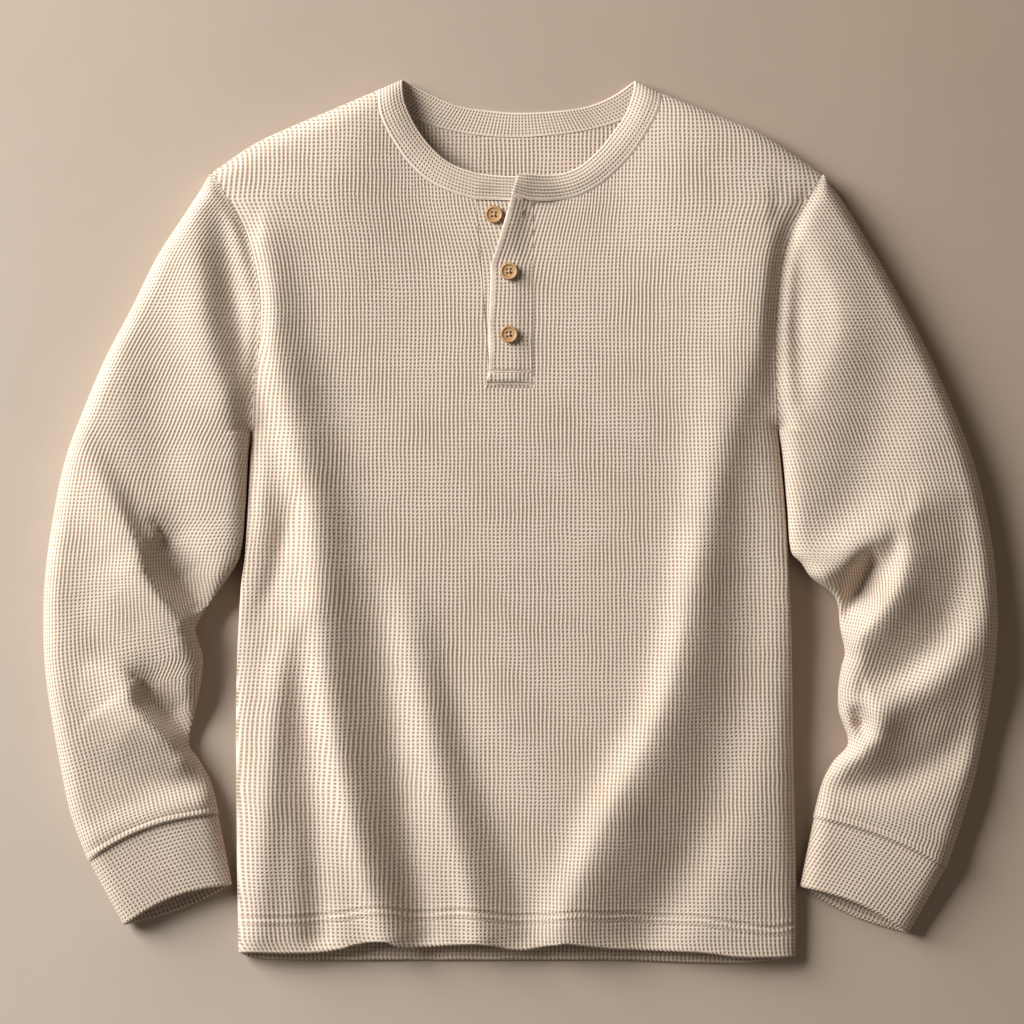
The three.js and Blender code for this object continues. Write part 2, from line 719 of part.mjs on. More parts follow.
// Sleeve as rings from the shoulder tip down. Rings above the armpit end on the armhole seam
function sleeveRings(side, hand) {
  const armhole = [...armholeUp[side]].reverse();
  const armholeOut = [...armholeAcross[side]].reverse();
  const inner = curve(side === 'left' ? INNER_LEFT : INNER_RIGHT, evenShares(SLEEVE_SECTIONS));
  const outerTable = side === 'left' ? OUTER_LEFT : OUTER_RIGHT;
  const innerPath = joined(armhole, inner);
  const total = pathLength(innerPath);
  const walkedTo = (i) => pathLength(innerPath.slice(0, i + 1));
  const folds = traced(SLEEVE_FOLDS[side]);
  const corners = CUFFS[side];
  const rings = [];
  for (let i = 1; i < innerPath.length; i += 1) {
    const open = i < armholeCount;
    const share = walkedTo(i) / total;
    const out = curvePoint(outerTable, share);
    const away = armholeOut[Math.min(i, armholeCount)].clone().multiplyScalar(hand * SEAM_GAP);
    const toArmpit = open ? pathLength(innerPath.slice(i, armholeCount + 1)) : 0;
    const width = Math.hypot(out[0] - innerPath[i][0], out[1] - innerPath[i][1]);
    const full = lerp(BODY_HEIGHT, SLEEVE_HEIGHT, smoothstep(0, 0.4, share));
    const crown = lerp(full, CUFF_SEAM_HEIGHT, smoothstep(0.7, 1, share)) - EDGE_HEIGHT;
    const bow = corners.seamBow * smoothstep(0.9, 1, share);
    const down = new THREE.Vector3(innerPath[i][1] - out[1], out[0] - innerPath[i][0], 0).normalize();
    down.multiplyScalar(down.y > 0 ? -1 : 1);
    const pointAt = (reach, under) => {
      const bowHere = bow * Math.sin(Math.PI * reach);
      const x = lerp(innerPath[i][0], out[0], reach) + down.x * bowHere;
      const y = lerp(innerPath[i][1], out[1], reach) + down.y * bowHere;
      const fromInner = reach * width;
      const fromOuter = width - fromInner;
      const bodyPull = open ? Math.exp(-((fromInner / SEAM_BLEND) ** 2)) : 0;
      const shift = 1 - smoothstep(0, 2 * SEAM_BLEND, fromInner);
      let z = 0;
      if (under) {
        const rise = underRise(fromOuter) * underRise(fromInner + toArmpit);
        z = lerp(EDGE_HEIGHT * (1 - rise), bodyUnder(x, y), bodyPull);
      } else {
        const rise = topRise(fromOuter) * topRise(fromInner + toArmpit);
        z = lerp(EDGE_HEIGHT + rise * (crown + foldHeight(folds, x, y)), bodyTop(x, y), bodyPull);
      }
      return new THREE.Vector3(x + away.x * shift, y + away.y * shift, z);
    };
    rings.push([
      ...TOP_SHARES.map((reach) => pointAt(reach, false)),
      ...UNDER_SHARES.map((reach) => pointAt(reach, true)),
    ]);
  }
  return { rings, armholeOut: armholeOut.slice(1) };
}

function sleeve(side, hand) {
  const { rings, armholeOut } = sleeveRings(side, hand);
  const closedFrom = armholeCount - 1;
  const normals = gridNormals(rings, -hand, closedFrom);
  const last = rings[0].length - 1;
  for (let i = 0; i < closedFrom; i += 1) {
    cutNormal(normals[i][0], armholeOut[i]);
    cutNormal(normals[i][last], armholeOut[i]);
  }
  foldNormal(normals[closedFrom][0], armholeOut[closedFrom]);
  normals[closedFrom][last].copy(normals[closedFrom][0]);
  const end = rings.length - 1;
  const seamDown = cuffDown(side, rings[end]);
  normals[end].forEach((normal) => cutNormal(normal, seamDown));
  const ringWidth = (ring) => ring[0].distanceTo(ring[TOP_SHARES.length - 1]);
  const wallAt = (p, i) => Math.min(WALL, TIP_WALL_SHARE * ringWidth(rings[i]));
  const geometry = wallGeometry(rings, insetBy(rings, normals, wallAt), closedFrom);
  return { geometry, seamRing: rings[end], seamNormals: normals[end], seamDown };
}

// Level direction from a sleeve's end toward the mouth of its cuff
function cuffDown(side, ring) {
  const across = ring[TOP_SHARES.length - 1].clone().sub(ring[0]);
  const down = new THREE.Vector3(across.y, -across.x, 0).normalize();
  return down.multiplyScalar(down.y > 0 ? -1 : 1);
}

// Cuff as rings from the sleeve's last one to the mouth, whose upper edge lies further back
function cuff(side, hand, { seamRing, seamNormals, seamDown }) {
  const { outer, inner, topBow, underBow } = CUFFS[side];
  const reaches = [...TOP_SHARES, ...UNDER_SHARES];
  const mouthDown = new THREE.Vector3(outer[1] - inner[1], inner[0] - outer[0], 0).normalize();
  mouthDown.multiplyScalar(mouthDown.y > 0 ? -1 : 1);
  const width = Math.hypot(outer[0] - inner[0], outer[1] - inner[1]);
  const mouth = reaches.map((reach, k) => {
    const under = k >= TOP_SHARES.length;
    const bow = (under ? underBow : topBow) * Math.sin(Math.PI * reach);
    const rise = topRise(reach * width) * topRise((1 - reach) * width);
    const under01 = underRise(reach * width) * underRise((1 - reach) * width);
    const top = EDGE_HEIGHT + rise * (CUFF_MOUTH_HEIGHT - EDGE_HEIGHT);
    return new THREE.Vector3(
      lerp(inner[0], outer[0], reach) + mouthDown.x * bow,
      lerp(inner[1], outer[1], reach) + mouthDown.y * bow,
      under ? EDGE_HEIGHT * (1 - under01) : top,
    );
  });
  const first = seamRing.map((p) => p.clone().addScaledVector(seamDown, 1.3 * SEAM_GAP));
  const ringAt = (share) => first.map((p, k) => p.clone().lerp(mouth[k], share));
  const rings = evenShares(CUFF_SECTIONS).map(ringAt);
  const normals = gridNormals(rings, -hand, 0);
  normals[0] = seamNormals;
  normals[CUFF_SECTIONS].forEach((normal) => cutNormal(normal, mouthDown));
  return wallGeometry(rings, insetBy(rings, normals, () => WALL), 0);
}

// Neckband as sections from its left front end, over the left shoulder, round the back and over
// the right shoulder to its right front end, which lies above the left one
function neckband() {
  const sections = [];
  const section = (seam, edge, out, height, lift, bulge) => {
    const seamPoint = [seam[0] + out.x * SEAM_GAP, seam[1] + out.y * SEAM_GAP];
    const heights = { seamZ: height(...seam) + lift, edgeZ: height(...edge) + lift };
    sections.push({ seam: seamPoint, edge, ...heights, out, bulge });
  };
  const shoulderFold = (seam, edge) => {
    const out = new THREE.Vector3(seam[0] - edge[0], seam[1] - edge[1], 0).normalize();
    const seamPoint = [seam[0] - out.x * SEAM_GAP, seam[1] - out.y * SEAM_GAP];
    const heights = { seamZ: EDGE_HEIGHT, edgeZ: EDGE_HEIGHT };
    sections.push({ seam: seamPoint, edge, ...heights, out, bulge: 0, fold: true });
  };
  const edgeLeft = curve(BAND_EDGE_LEFT, [...NECKLINE_SHARES.map((share) => share * 0.74), 0.88, 1]);
  const leftSeam = [...necklineLeft, NECKLINE_SLIT[1], BAND_END_LEFT];
  const leftAcross = acrossPath(leftSeam);
  for (let i = leftSeam.length - 1; i > 0; i -= 1) {
    const bulge = BAND_BULGE * (1 - smoothstep(-36, -16, leftSeam[i][0]));
    section(leftSeam[i], edgeLeft[i], leftAcross[i].clone().negate(), bodyTop, 0, bulge);
  }
  shoulderFold(necklineLeft[0], BAND_EDGE_LEFT[0]);
  const edgeBack = curve(BAND_EDGE_BACK, evenShares(backNeckline.length - 1));
  const backAcross = acrossPath(backNeckline);
  for (let i = 1; i < backNeckline.length - 1; i += 1) {
    section(backNeckline[i], edgeBack[i], backAcross[i].clone().negate(), bodyUnder, 0, 0);
    sections.at(-1).under = true;
  }
  shoulderFold(necklineRight[0], BAND_EDGE_RIGHT[0]);
  const endLift = WALL + 2 * SEAM_GAP;
  const edgeRight = curve(BAND_EDGE_RIGHT, [...NECKLINE_SHARES.map((share) => share * 0.97), 1]);
  const rightSeam = [...necklineRight.slice(0, -1), ...BAND_END_RIGHT];
  const rightAcross = acrossPath(rightSeam);
  for (let i = 1; i < rightSeam.length; i += 1) {
    const lift = endLift * (1 - smoothstep(12, 40, rightSeam[i][0]));
    section(rightSeam[i], edgeRight[i], rightAcross[i], bodyTop, lift, BAND_BULGE);
  }
  const outer = sections.map(({ seam, edge, seamZ, edgeZ, bulge }) =>
    BAND_SHARES.map((share) => {
      const z = lerp(seamZ, edgeZ, share) + bulge * Math.sin(Math.PI * share);
      return new THREE.Vector3(lerp(seam[0], edge[0], share), lerp(seam[1], edge[1], share), z);
    }),
  );
  const normals = gridNormals(outer, 1, Infinity);
  sections.forEach(({ out, fold, under }, i) => {
    if (fold) {
      const level = new THREE.Vector3(-out.y, out.x, 0);
      normals[i].forEach((normal) => normal.copy(level.clone().multiplyScalar(Math.sign(level.y))));
    } else {
      cutNormal(normals[i][0], out);
      if (under) {
        normals[i].forEach((normal) => normal.set(0, 0, -1));
      }
    }
  });
  return wallGeometry(outer, insetBy(outer, normals, () => BAND_WALL));
}

// Strip that follows the front's outer face between two edges
function strip(leftEdge, rightEdge, shares, lift, wall) {
  const outer = leftEdge.map((left, i) =>
    shares.map((share) => {
      const x = lerp(left[0], rightEdge[i][0], share);
      const y = lerp(left[1], rightEdge[i][1], share);
      return new THREE.Vector3(x, y, bodyTop(x, y) + lift);
    }),
  );
  return wallGeometry(outer, outer.map((row) => row.map((p) => p.clone().setZ(p.z - wall))));
}

function placketUnder() {
  const rows = evenShares(UNDER_ROWS);
  const [leftTop, leftFoot] = SLIT_LEFT;
  const [rightTop, rightFoot] = UNDER_RIGHT;
  const left = [
    [leftTop[0] + EDGE_CLEARANCE, leftTop[1] - EDGE_CLEARANCE],
    [leftFoot[0] + EDGE_CLEARANCE, leftFoot[1] + EDGE_CLEARANCE],
  ];
  const right = [
    [rightTop[0], rightTop[1] - EDGE_CLEARANCE],
    [rightFoot[0], rightFoot[1] + EDGE_CLEARANCE],
  ];
  return strip(curve(left, rows), curve(right, rows), evenShares(UNDER_COLUMNS), 0, WALL);
}

function placketOver() {
  return strip(OVER_LEFT, OVER_RIGHT, OVER_SHARES, SEAM_GAP + PLACKET_WALL, PLACKET_WALL);
}

// Button with a dished face and four holes through it
function button() {
  const radius = BUTTON_DIAMETER / 2;
  const profile = [
    [0, 0],
    [radius - 0.8, 0],
    [radius, 0.8],
    [radius - 0.3, BUTTON_THICKNESS],
    [radius - BUTTON_RIM, BUTTON_THICKNESS - 0.1],
    [radius - BUTTON_RIM - 0.8, BUTTON_THICKNESS - BUTTON_DISH],
    [0, BUTTON_THICKNESS - BUTTON_DISH],
  ].map(([x, y]) => new THREE.Vector2(x, y));
  const disc = new THREE.LatheGeometry(profile, BUTTON_SIDES);
  disc.rotateX(Math.PI / 2);
  let solid = toManifold(facingOut(mergeClosed(disc)));
  for (let i = 0; i < 4; i += 1) {
    const hole = new THREE.CylinderGeometry(BUTTON_HOLE / 2, BUTTON_HOLE / 2, 3 * BUTTON_THICKNESS, 6);
    hole.rotateX(Math.PI / 2);
    const angle = Math.PI / 4 + (i * Math.PI) / 2;
    hole.translate(BUTTON_HOLE_RING * Math.cos(angle), BUTTON_HOLE_RING * Math.sin(angle), 0);
    solid = solid.subtract(toManifold(facingOut(mergeClosed(hole))));
  }
  return fromManifold(solid);
}

// Mesh with its seam vertices merged and its flat triangles dropped
function mergeClosed(geometry) {
  const bare = geometry.clone();
  bare.deleteAttribute('normal');
  bare.deleteAttribute('uv');
  const merged = mergeVertices(bare, 1e-3);
  const index = [...merged.getIndex().array];
  const kept = [];
  for (let i = 0; i < index.length; i += 3) {
    const [a, b, c] = index.slice(i, i + 3);
    if (a !== b && b !== c && a !== c) {
      kept.push(a, b, c);
    }
  }
  merged.setIndex(kept);
  return merged;
}

addPiece('front', frontPanel(), knit());
addPiece('back', bodyPanel(backNeckline, HEM_BACK, backHemShares, BACK_SIDE_SECTIONS, bodyUnder, -1), knit());
for (const [side, hand] of [['left', -1], ['right', 1]]) {
  const arm = sleeve(side, hand);
  addPiece(`sleeve_${side}`, arm.geometry, knit());
  addPiece(`cuff_${side}`, cuff(side, hand, arm), knit());
}
addPiece('neckband', neckband(), knit());
addPiece('placket_under', placketUnder(), knit());
addPiece('placket_over', placketOver(), knit());
BUTTONS.forEach(({ x, y, over }, i) => {
  const geometry = button();
  const seat = bodyTop(x, y) + (over ? SEAM_GAP + PLACKET_WALL : 0);
  const tilt = (NECK_SLOPE * BUTTON_DIAMETER) / 2;
  geometry.translate(x, y, seat + tilt + SEAM_GAP);
  addPiece(`button_${i + 1}`, geometry, wood());
});

// The origin is under the middle of the whole shirt
const box = new THREE.Box3().setFromObject(shirt);
shirt.position.set(-(box.min.x + box.max.x) / 2, -(box.min.y + box.max.y) / 2, -box.min.z);

export default shirt;
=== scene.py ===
# Henley shirt in waffle knit, laid flat on a plain surface with its front up
import math

import bmesh
import bpy
import numpy as np
from bpy.props import FloatProperty, FloatVectorProperty, PointerProperty
from mathutils import Matrix, Vector


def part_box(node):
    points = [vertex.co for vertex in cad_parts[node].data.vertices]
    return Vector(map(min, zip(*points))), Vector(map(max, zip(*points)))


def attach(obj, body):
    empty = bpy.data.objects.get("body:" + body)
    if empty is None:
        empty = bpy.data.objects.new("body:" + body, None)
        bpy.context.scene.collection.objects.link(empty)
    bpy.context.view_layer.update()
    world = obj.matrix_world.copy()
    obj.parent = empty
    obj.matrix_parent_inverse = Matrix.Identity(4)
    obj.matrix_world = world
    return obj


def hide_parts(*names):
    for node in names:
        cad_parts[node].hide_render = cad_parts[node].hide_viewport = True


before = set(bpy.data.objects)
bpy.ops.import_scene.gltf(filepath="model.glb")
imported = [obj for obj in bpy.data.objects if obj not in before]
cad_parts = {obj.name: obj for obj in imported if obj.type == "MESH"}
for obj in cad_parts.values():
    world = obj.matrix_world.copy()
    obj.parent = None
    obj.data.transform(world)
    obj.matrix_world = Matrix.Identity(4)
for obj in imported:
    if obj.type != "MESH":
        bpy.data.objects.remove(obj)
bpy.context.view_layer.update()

bl_info = {
    "name": "Henley shirt, laid flat",
    "version": (1, 0, 0),
    "blender": (4, 5, 0),
    "location": "View3D > Sidebar > Henley",
    "description": "Waffle knit henley shirt with its stitching, wooden buttons and a plain stage",
    "category": "Object",
}

MM = 0.001

# Heights over the surface that the shirt lies on, in millimetres as all tables below
EDGE_HEIGHT = 7.5
BODY_HEIGHT = 25.0
SLEEVE_HEIGHT = 29.0
CUFF_SEAM_HEIGHT = 22.0
CUFF_MOUTH_HEIGHT = 19.0
SEAM_GAP = 0.3

# Roundness of a laid edge: a tight roll, then a long soft rise, and the roll of the underside
ROLL = 15.0
RISE = 64.0
ROLL_SHARE = 0.45
UNDER_ROLL = 12.0

# The front sinks toward the neck, its hem lies lower than its chest, and the armhole seams pull in
NECK_SLOPE = 0.036
NECK_SLOPE_FROM = 60.0
NECK_SLOPE_EASE = 40.0
NECK_SLOPE_HALF_WIDTH = (65.0, 150.0)
HEM_SINK = 9.0
HEM_SINK_LENGTH = 130.0
ARMHOLE_GROOVE = 6.0
ARMHOLE_GROOVE_WIDTH = 8.0
# Below the armpits the sleeves press on the body: place from the middle, extent, and rise of the edges
PRESSED_AT = (216.0, -45.0)
PRESSED_WIDTH = (50.0, 120.0)
PRESSED_RISE = 13.0

# Outlines, rows of x and y. Side seams run from the hem up to the armpit
SIDE_LEFT = [
    (-225.6, -345.5), (-227.2, -263), (-227.2, -143), (-223.2, -55), (-219.5, -25), (-215.5, 60),
    (-214.9, 70.4),
]
SIDE_RIGHT = [(221, -348), (221.8, -321), (218.9, -182), (216.6, -86), (212, 6.4), (206.4, 72.8)]
# Armhole seams from the armpit up to the shoulder tip
ARMHOLE_LEFT = [
    (-214.9, 70.4), (-211.6, 112.8), (-208, 140.8), (-206.4, 168), (-210.4, 201.6), (-216.8, 225.6),
    (-227.2, 246.4), (-246.4, 280),
]
ARMHOLE_RIGHT = [
    (206.4, 72.8), (204, 113.6), (204, 148), (205.6, 175.2), (208, 198.4), (212, 217.6), (218.4, 236),
    (228, 254.4), (241.6, 278.4),
]
# Shoulder seams from the shoulder tip to the neckband
SHOULDER_LEFT = [(-246.4, 280), (-212.8, 302.4), (-184, 316), (-155.2, 328), (-114.6, 345.4)]
SHOULDER_RIGHT = [(241.6, 278.4), (197.6, 308.4), (155.2, 326.4), (113.6, 343)]
# Neckline of the front, left of the slit and right of it, from the shoulder down to the slit
NECKLINE_LEFT = [
    (-114.6, 345.4), (-113.4, 330), (-109.8, 318), (-100, 300.6), (-89.6, 286), (-74.4, 272),
    (-54.4, 262.4), (-35.2, 256.6),
]
NECKLINE_RIGHT = [
    (113.6, 343), (111.8, 331), (104.8, 315.9), (92.1, 296), (78.3, 280.8), (64, 268.5), (46.4, 259.4),
    (25.6, 255.6), (4.8, 256),
]
NECKLINE_SLIT = [(-35.2, 256.6), (-15, 256.2), (4.8, 256)]
# Neckline of the back, from left to right
NECKLINE_BACK = [
    (-114.6, 345.4), (-102, 334), (-86, 323.6), (-62, 315), (-36, 310), (-6, 308), (22, 309.4),
    (50, 313), (74, 319), (96, 328.6), (113.6, 343),
]
# Free edge of the neckband: front left from the fold at the shoulder, front right, then the back
BAND_EDGE_LEFT = [
    (-95.2, 353.6), (-94.5, 344), (-92.4, 333.7), (-84.3, 316), (-71.5, 298.6), (-57.3, 286.3),
    (-40, 279), (-20, 275.4), (2, 274.4),
]
BAND_EDGE_RIGHT = [
    (92.8, 352.8), (92.3, 348), (90.6, 340.4), (84.4, 324.1), (74.2, 309.3), (64, 296.5), (45.6, 281.2),
    (25.6, 275.8), (-0.8, 276.8),
]
BAND_EDGE_BACK = [
    (-95.2, 353.6), (-84.3, 348), (-69, 340.4), (-48.6, 332.2), (-20.8, 328.2), (-0.8, 326.8),
    (25.6, 328), (48, 330.6), (64, 335.3), (78.3, 342.4), (92.8, 352.8),
]
BAND_END_LEFT = (1.6, 255.4)
BAND_END_RIGHT = [(4.8, 256.8), (-5.8, 260.2)]
# Hem edges of the front and the back, from left to right
HEM_FRONT = [
    (-225.6, -345.5), (-217.6, -344.3), (-183, -344.8), (-148, -342.4), (-128, -337.2), (-108.4, -335.4),
    (-94.1, -340), (-63.2, -339), (-33, -337.7), (0, -342.3), (17, -340), (36.5, -336.9), (61, -339.9),
    (98, -342.6), (142.6, -344), (176, -347.8), (221, -348),
]
HEM_BACK = [
    (-225.6, -345.5), (-214.5, -349.4), (-168.6, -351.7), (-80, -351.4), (-6.4, -351.4), (80, -351.6),
    (131.4, -353.2), (176, -354), (198.7, -352.1), (221, -348),
]
# Stitch line of the turned-up hem
HEM_STITCH = [
    (-222, -317.6), (-205.6, -317.6), (-168.8, -316.8), (-138, -312.8), (-122.4, -309.6), (-104, -309.6),
    (-84.8, -313.6), (-51.2, -311.2), (-32.8, -312), (-16.8, -314.7), (0, -316), (21.6, -315.2),
    (49.6, -312), (64, -313.6), (89.6, -313.6), (108.8, -316.8), (140, -316.8), (176, -322.4),
    (203.2, -325.6), (219, -323.2),
]
# Outer edges of the sleeves, from the shoulder tip down to the cuff seam
OUTER_LEFT = [
    (-246.4, 280), (-269.6, 244.8), (-290.4, 212.8), (-311.2, 171.2), (-332.8, 129.6), (-350.4, 88),
    (-364, 51.2), (-373.6, 7.2), (-380.8, -44.8), (-382.1, -79.2), (-380.8, -118.4), (-376, -154.4),
    (-368, -199.2), (-360, -236), (-346.4, -272.8),
]
OUTER_RIGHT = [
    (241.6, 278.4), (258.4, 256.8), (287.2, 209.6), (315.2, 159.2), (337.6, 112.8), (363.2, 48.8),
    (377.6, -12.8), (383, -72.8), (380, -123.2), (368.8, -187.2), (360, -223.2), (342, -278.4),
]
# Inner edges of the sleeves, from the armpit past two nicks down to the cuff seam
INNER_LEFT = [
    (-214.9, 70.4), (-217.2, 50), (-219.2, 10), (-223.4, -28), (-232.8, -44.8), (-246.4, -64),
    (-259.2, -84.8), (-257.6, -95), (-253.6, -108), (-255.2, -128.8), (-259.2, -149.6), (-265, -178),
    (-256.8, -191.2), (-247.2, -209.6), (-241.1, -234.4),
]
INNER_RIGHT = [
    (206.4, 72.8), (209.6, 52), (213.4, 8), (216.4, -25), (224, -33.2), (232, -44.8), (252, -61.5),
    (256, -86.4), (259.7, -105.6), (256.8, -117.6), (254.4, -135.2), (255.2, -152.8), (262.6, -178),
    (251.2, -192), (242.4, -208), (234.6, -237),
]
# Cuff corners at the mouth, and how far each seam or mouth edge bows from its straight line
CUFFS = {
    "left": {"outer": (-318.4, -323.2), "inner": (-231.2, -290), "seam": -8, "top": -7.5, "under": 4.3},
    "right": {"outer": (312, -329.6), "inner": (224.8, -291.6), "seam": -5, "top": -6.2, "under": 5.3},
}

# Folds: the line of a crest or trough, its heights from start to end, and its widths to the left and
# the right of one who walks along it. A trough has a negative height
BODY_FOLDS = [
    ([(-206, 217), (-203, 161), (-189, 113), (-180, 65), (-166, 17), (-160, -31), (-158, -79),
      (-154, -127), (-146, -175), (-136, -223), (-124, -271), (-106, -331)],
     (5, 10, 12, 12, 12, 11, 11, 11, 11, 11, 10, 8), (24, 24, 24, 24, 23, 22, 22, 21, 20, 20, 20, 20),
     (12, 13, 14, 15, 16, 16, 15, 14, 13, 13, 14, 15)),
    ([(-122, -31), (-114, -79), (-107, -127), (-100, -179), (-92, -231), (-77, -331)],
     (0, -3, -5, -5.5, -5.5, -5.5), (13,), (15,)),
    ([(-94, -31), (-86, -95), (-74, -151), (-62, -211), (-46, -267), (-32, -331)],
     (0, 3, 5, 6, 6, 6), (16,), (13,)),
    ([(-64, -63), (-54, -127), (-40, -183), (-18, -239), (-4, -279), (8, -331)],
     (0, -2, -3, -3.5, -4, -4.5), (24,), (14,)),
    ([(-176, -73), (-189, -111), (-196, -159), (-202, -223), (-206, -271), (-210, -331)],
     (3, 5, 5, 4.5, 4, 3), (12,), (12,)),
    ([(-171, -115), (-174, -151), (-169, -207), (-164, -263), (-161, -331)],
     (0, -3, -4.5, -5.5, -6), (13,), (13,)),
    ([(-206, 69), (-205, 25), (-210, -31)],
     (1, 3, 0), (8,), (9,)),
    ([(-178, 25), (-189, -15), (-198, -51), (-211, -83)],
     (-1, -4.5, -4, -1), (9,), (9,)),
    ([(198, 229), (189, 160), (177, 112), (163, 64), (152, 16), (143, -31), (134, -79), (123, -127),
      (105, -175), (79, -223), (57, -271), (32, -331)],
     (3, 6, 6, 7, 8, 9.5, 10.5, 11, 11, 10.5, 10, 8), (12, 15, 17, 18, 20, 24, 27, 29, 31, 32, 32, 30),
     (36, 40, 36, 26, 20, 17, 16, 16, 17, 18, 18, 18)),
    ([(178, 17), (181, -47), (179, -111), (169, -175), (150, -239), (118, -303), (104, -331)],
     (-1, -2.5, -3, -4, -5, -6, -6), (22,), (24,)),
]
SLEEVE_FOLDS = {
    "left": [
        ([(-264, 253), (-258, 209), (-252, 161), (-244, 125), (-234, 93), (-224, 61)],
         (2, 5, 7, 7, 5, 1), (13,), (18,)),
        ([(-238, 245), (-230, 185), (-219, 125), (-214, 77)],
         (-2, -5, -5, -2), (9,), (10,)),
        ([(-296, 153), (-290, 97), (-280, 41), (-264, 1)],
         (-2, -4, -4, -2), (24,), (24,)),
        ([(-358, 73), (-336, 34), (-318, 6), (-304, -19), (-298, -43), (-282, -66), (-264, -87)],
         (1, 4, 8, 12, 13, 12, 10), (12, 12, 10, 6, 6, 6, 6), (20, 24, 26, 28, 26, 20, 16)),
        ([(-284, -22), (-273, -44), (-257, -66)],
         (-12, -17, -13), (21,), (8,)),
        ([(-349, -118), (-328, -124), (-312, -135), (-307, -150), (-290, -165), (-269, -185)],
         (0, 4, 9, 12, 12, 10), (8, 8, 7, 6, 6, 6), (22, 26, 26, 24, 18, 14)),
        ([(-296, -138), (-282, -153), (-263, -172)],
         (-11, -17, -13), (19,), (8,)),
        ([(-352, -31), (-349, -71), (-339, -99)],
         (-1, -3, -2), (18,), (18,)),
        ([(-332, -195), (-296, -209), (-259, -209)],
         (-1, -3, -3), (13,), (13,)),
        ([(-346, -257), (-304, -239), (-251, -223)],
         (2, 3, 3), (12,), (9,)),
    ],
    "right": [
        ([(224, 237), (238, 217), (253, 185), (256, 149), (245, 113), (234, 89)],
         (1, 4, 5, 5, 3, 0), (24,), (13,)),
        ([(222, 213), (221, 153), (224, 97)],
         (-2, -5, -2), (10,), (9,)),
        ([(292, 113), (282, 65), (266, 17), (250, -7)],
         (-2, -4, -4, -3), (24,), (24,)),
        ([(342, 34), (316, 11), (292, -6), (264, -28), (242, -42)],
         (0, 3, 7, 9, 7), (22, 18, 13, 10, 9), (20,)),
        ([(279, -36), (272, -55), (260, -74)],
         (-12, -17, -12), (8,), (12,)),
        ([(310, 1), (306, -31), (298, -55), (285, -75), (269, -95), (258, -118)],
         (3, 10, 13, 12, 10, 6), (22,), (7,)),
        ([(279, -143), (284, -160), (277, -177), (258, -194)],
         (3, 8, 8, 3), (18,), (6,)),
        ([(354, 5), (350, -51), (330, -97), (288, -135)],
         (-2, -3.5, -3.5, -2), (14,), (14,)),
        ([(374, -63), (354, -103), (324, -131), (292, -146), (262, -166)],
         (1, 7, 9, 9, 6), (20,), (16,)),
        ([(371, -139), (348, -179), (304, -203), (256, -214)],
         (-1, -6, -7, -5), (16,), (16,)),
        ([(270, -156), (272, -161), (274, -166)],
         (-11, -15, -11), (8,), (9,)),
        ([(238, -223), (288, -233), (341, -265)],
         (2, 3, 2), (9,), (12,)),
    ],
}

# Placket: slit in the front, edges of the overlap from the neckline down, right edge of the underlap
SLIT_LEFT = [(-35.2, 256.6), (-24.8, 120)]
SLIT_RIGHT = [(4.8, 256), (4.8, 120)]
OVER_LEFT = [(-6.2, 258.9), (-18.4, 216.8), (-22.4, 204.8), (-24, 160), (-24, 119.2), (-27.6, 106.4)]
OVER_RIGHT = [(10.4, 254.4), (10.4, 216), (10.4, 204), (10.4, 160), (10.4, 119.2), (12.4, 106.4)]
UNDER_RIGHT = [(1.2, 255.6), (1.2, 120.3)]
EDGE_CLEARANCE = 0.4
# Buttons from the top down: place, and whether the button lies on the overlap
BUTTONS = [(-20.8, 244.8, False), (-8.8, 199.2, True), (-8.8, 148.8, True)]

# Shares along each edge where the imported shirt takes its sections, which the finer mesh runs through
ARMHOLE_SHARES = [0, 0.02, 0.07, 0.15, 0.27, 0.4, 0.54, 0.68, 0.8, 0.89, 0.95, 0.98, 1]
SHOULDER_SHARES = [0, 0.02, 0.07, 0.17, 0.32, 0.52, 0.76, 1]
HEM_EDGE_SHARES = [0, 0.004, 0.014, 0.034, 0.062, 0.094, 0.126, 0.158]
NECKLINE_SHARES = [0, 0.03, 0.1, 0.22, 0.36, 0.52, 0.68, 0.84, 1]
HEM_SLIT_SHARES = (0.4496, 0.516)
# How soon the columns of a body panel spread from the hem's shares to the top edge's
COLUMN_FLARE = 6
# Reach over which a sleeve takes on the body's height at the armhole seam
SEAM_BLEND = 10.0
# Thickest wall of a sleeve near the shoulder tip, as a share of its width there
TIP_WALL_SHARE = 0.2
BAND_BULGE = 1.3
# How finely the grids are cut: columns over a shoulder, a side of the neckline, the slit and the back
SHOULDER_COLUMNS = 26
NECKLINE_COLUMNS = 41
SLIT_COLUMNS = 11
BACK_COLUMNS = 81
# Rows along an armhole, and up a side above the hem and within it
ARMHOLE_ROWS = 73
FRONT_SIDE_ROWS = (126, 25)
BACK_SIDE_ROWS = (96, 17)
HEM_SHARE = 0.09
# Angle in degrees from which an edge of the cloth or of a button is shown sharp
CLOTH_SHARP = 55
BUTTON_SHARP = 40

# The table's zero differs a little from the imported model's, by which every piece is moved
low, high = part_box("button_1")
FRAME_SHIFT = np.array([(low.x + high.x) / 2, (low.y + high.y) / 2, 0]) / MM - [*BUTTONS[0][:2], 0]


def lerp(a, b, t):
    """Value at share t of the way from a to b."""
    return a + (b - a) * t


def smoothstep(start, end, value):
    """Soft step from 0 to 1 between start and end."""
    t = np.clip((value - start) / (end - start), 0, 1)
    return t * t * (3 - 2 * t)


def bell(distance, width):
    """Soft hump, 1 on its line and falling off over its width."""
    return np.exp(-((distance / width) ** 2))


def unit(vectors):
    """Vectors of the same direction and of length 1."""
    lengths = np.linalg.norm(vectors, axis=-1, keepdims=True)
    return vectors / np.maximum(lengths, 1e-9)


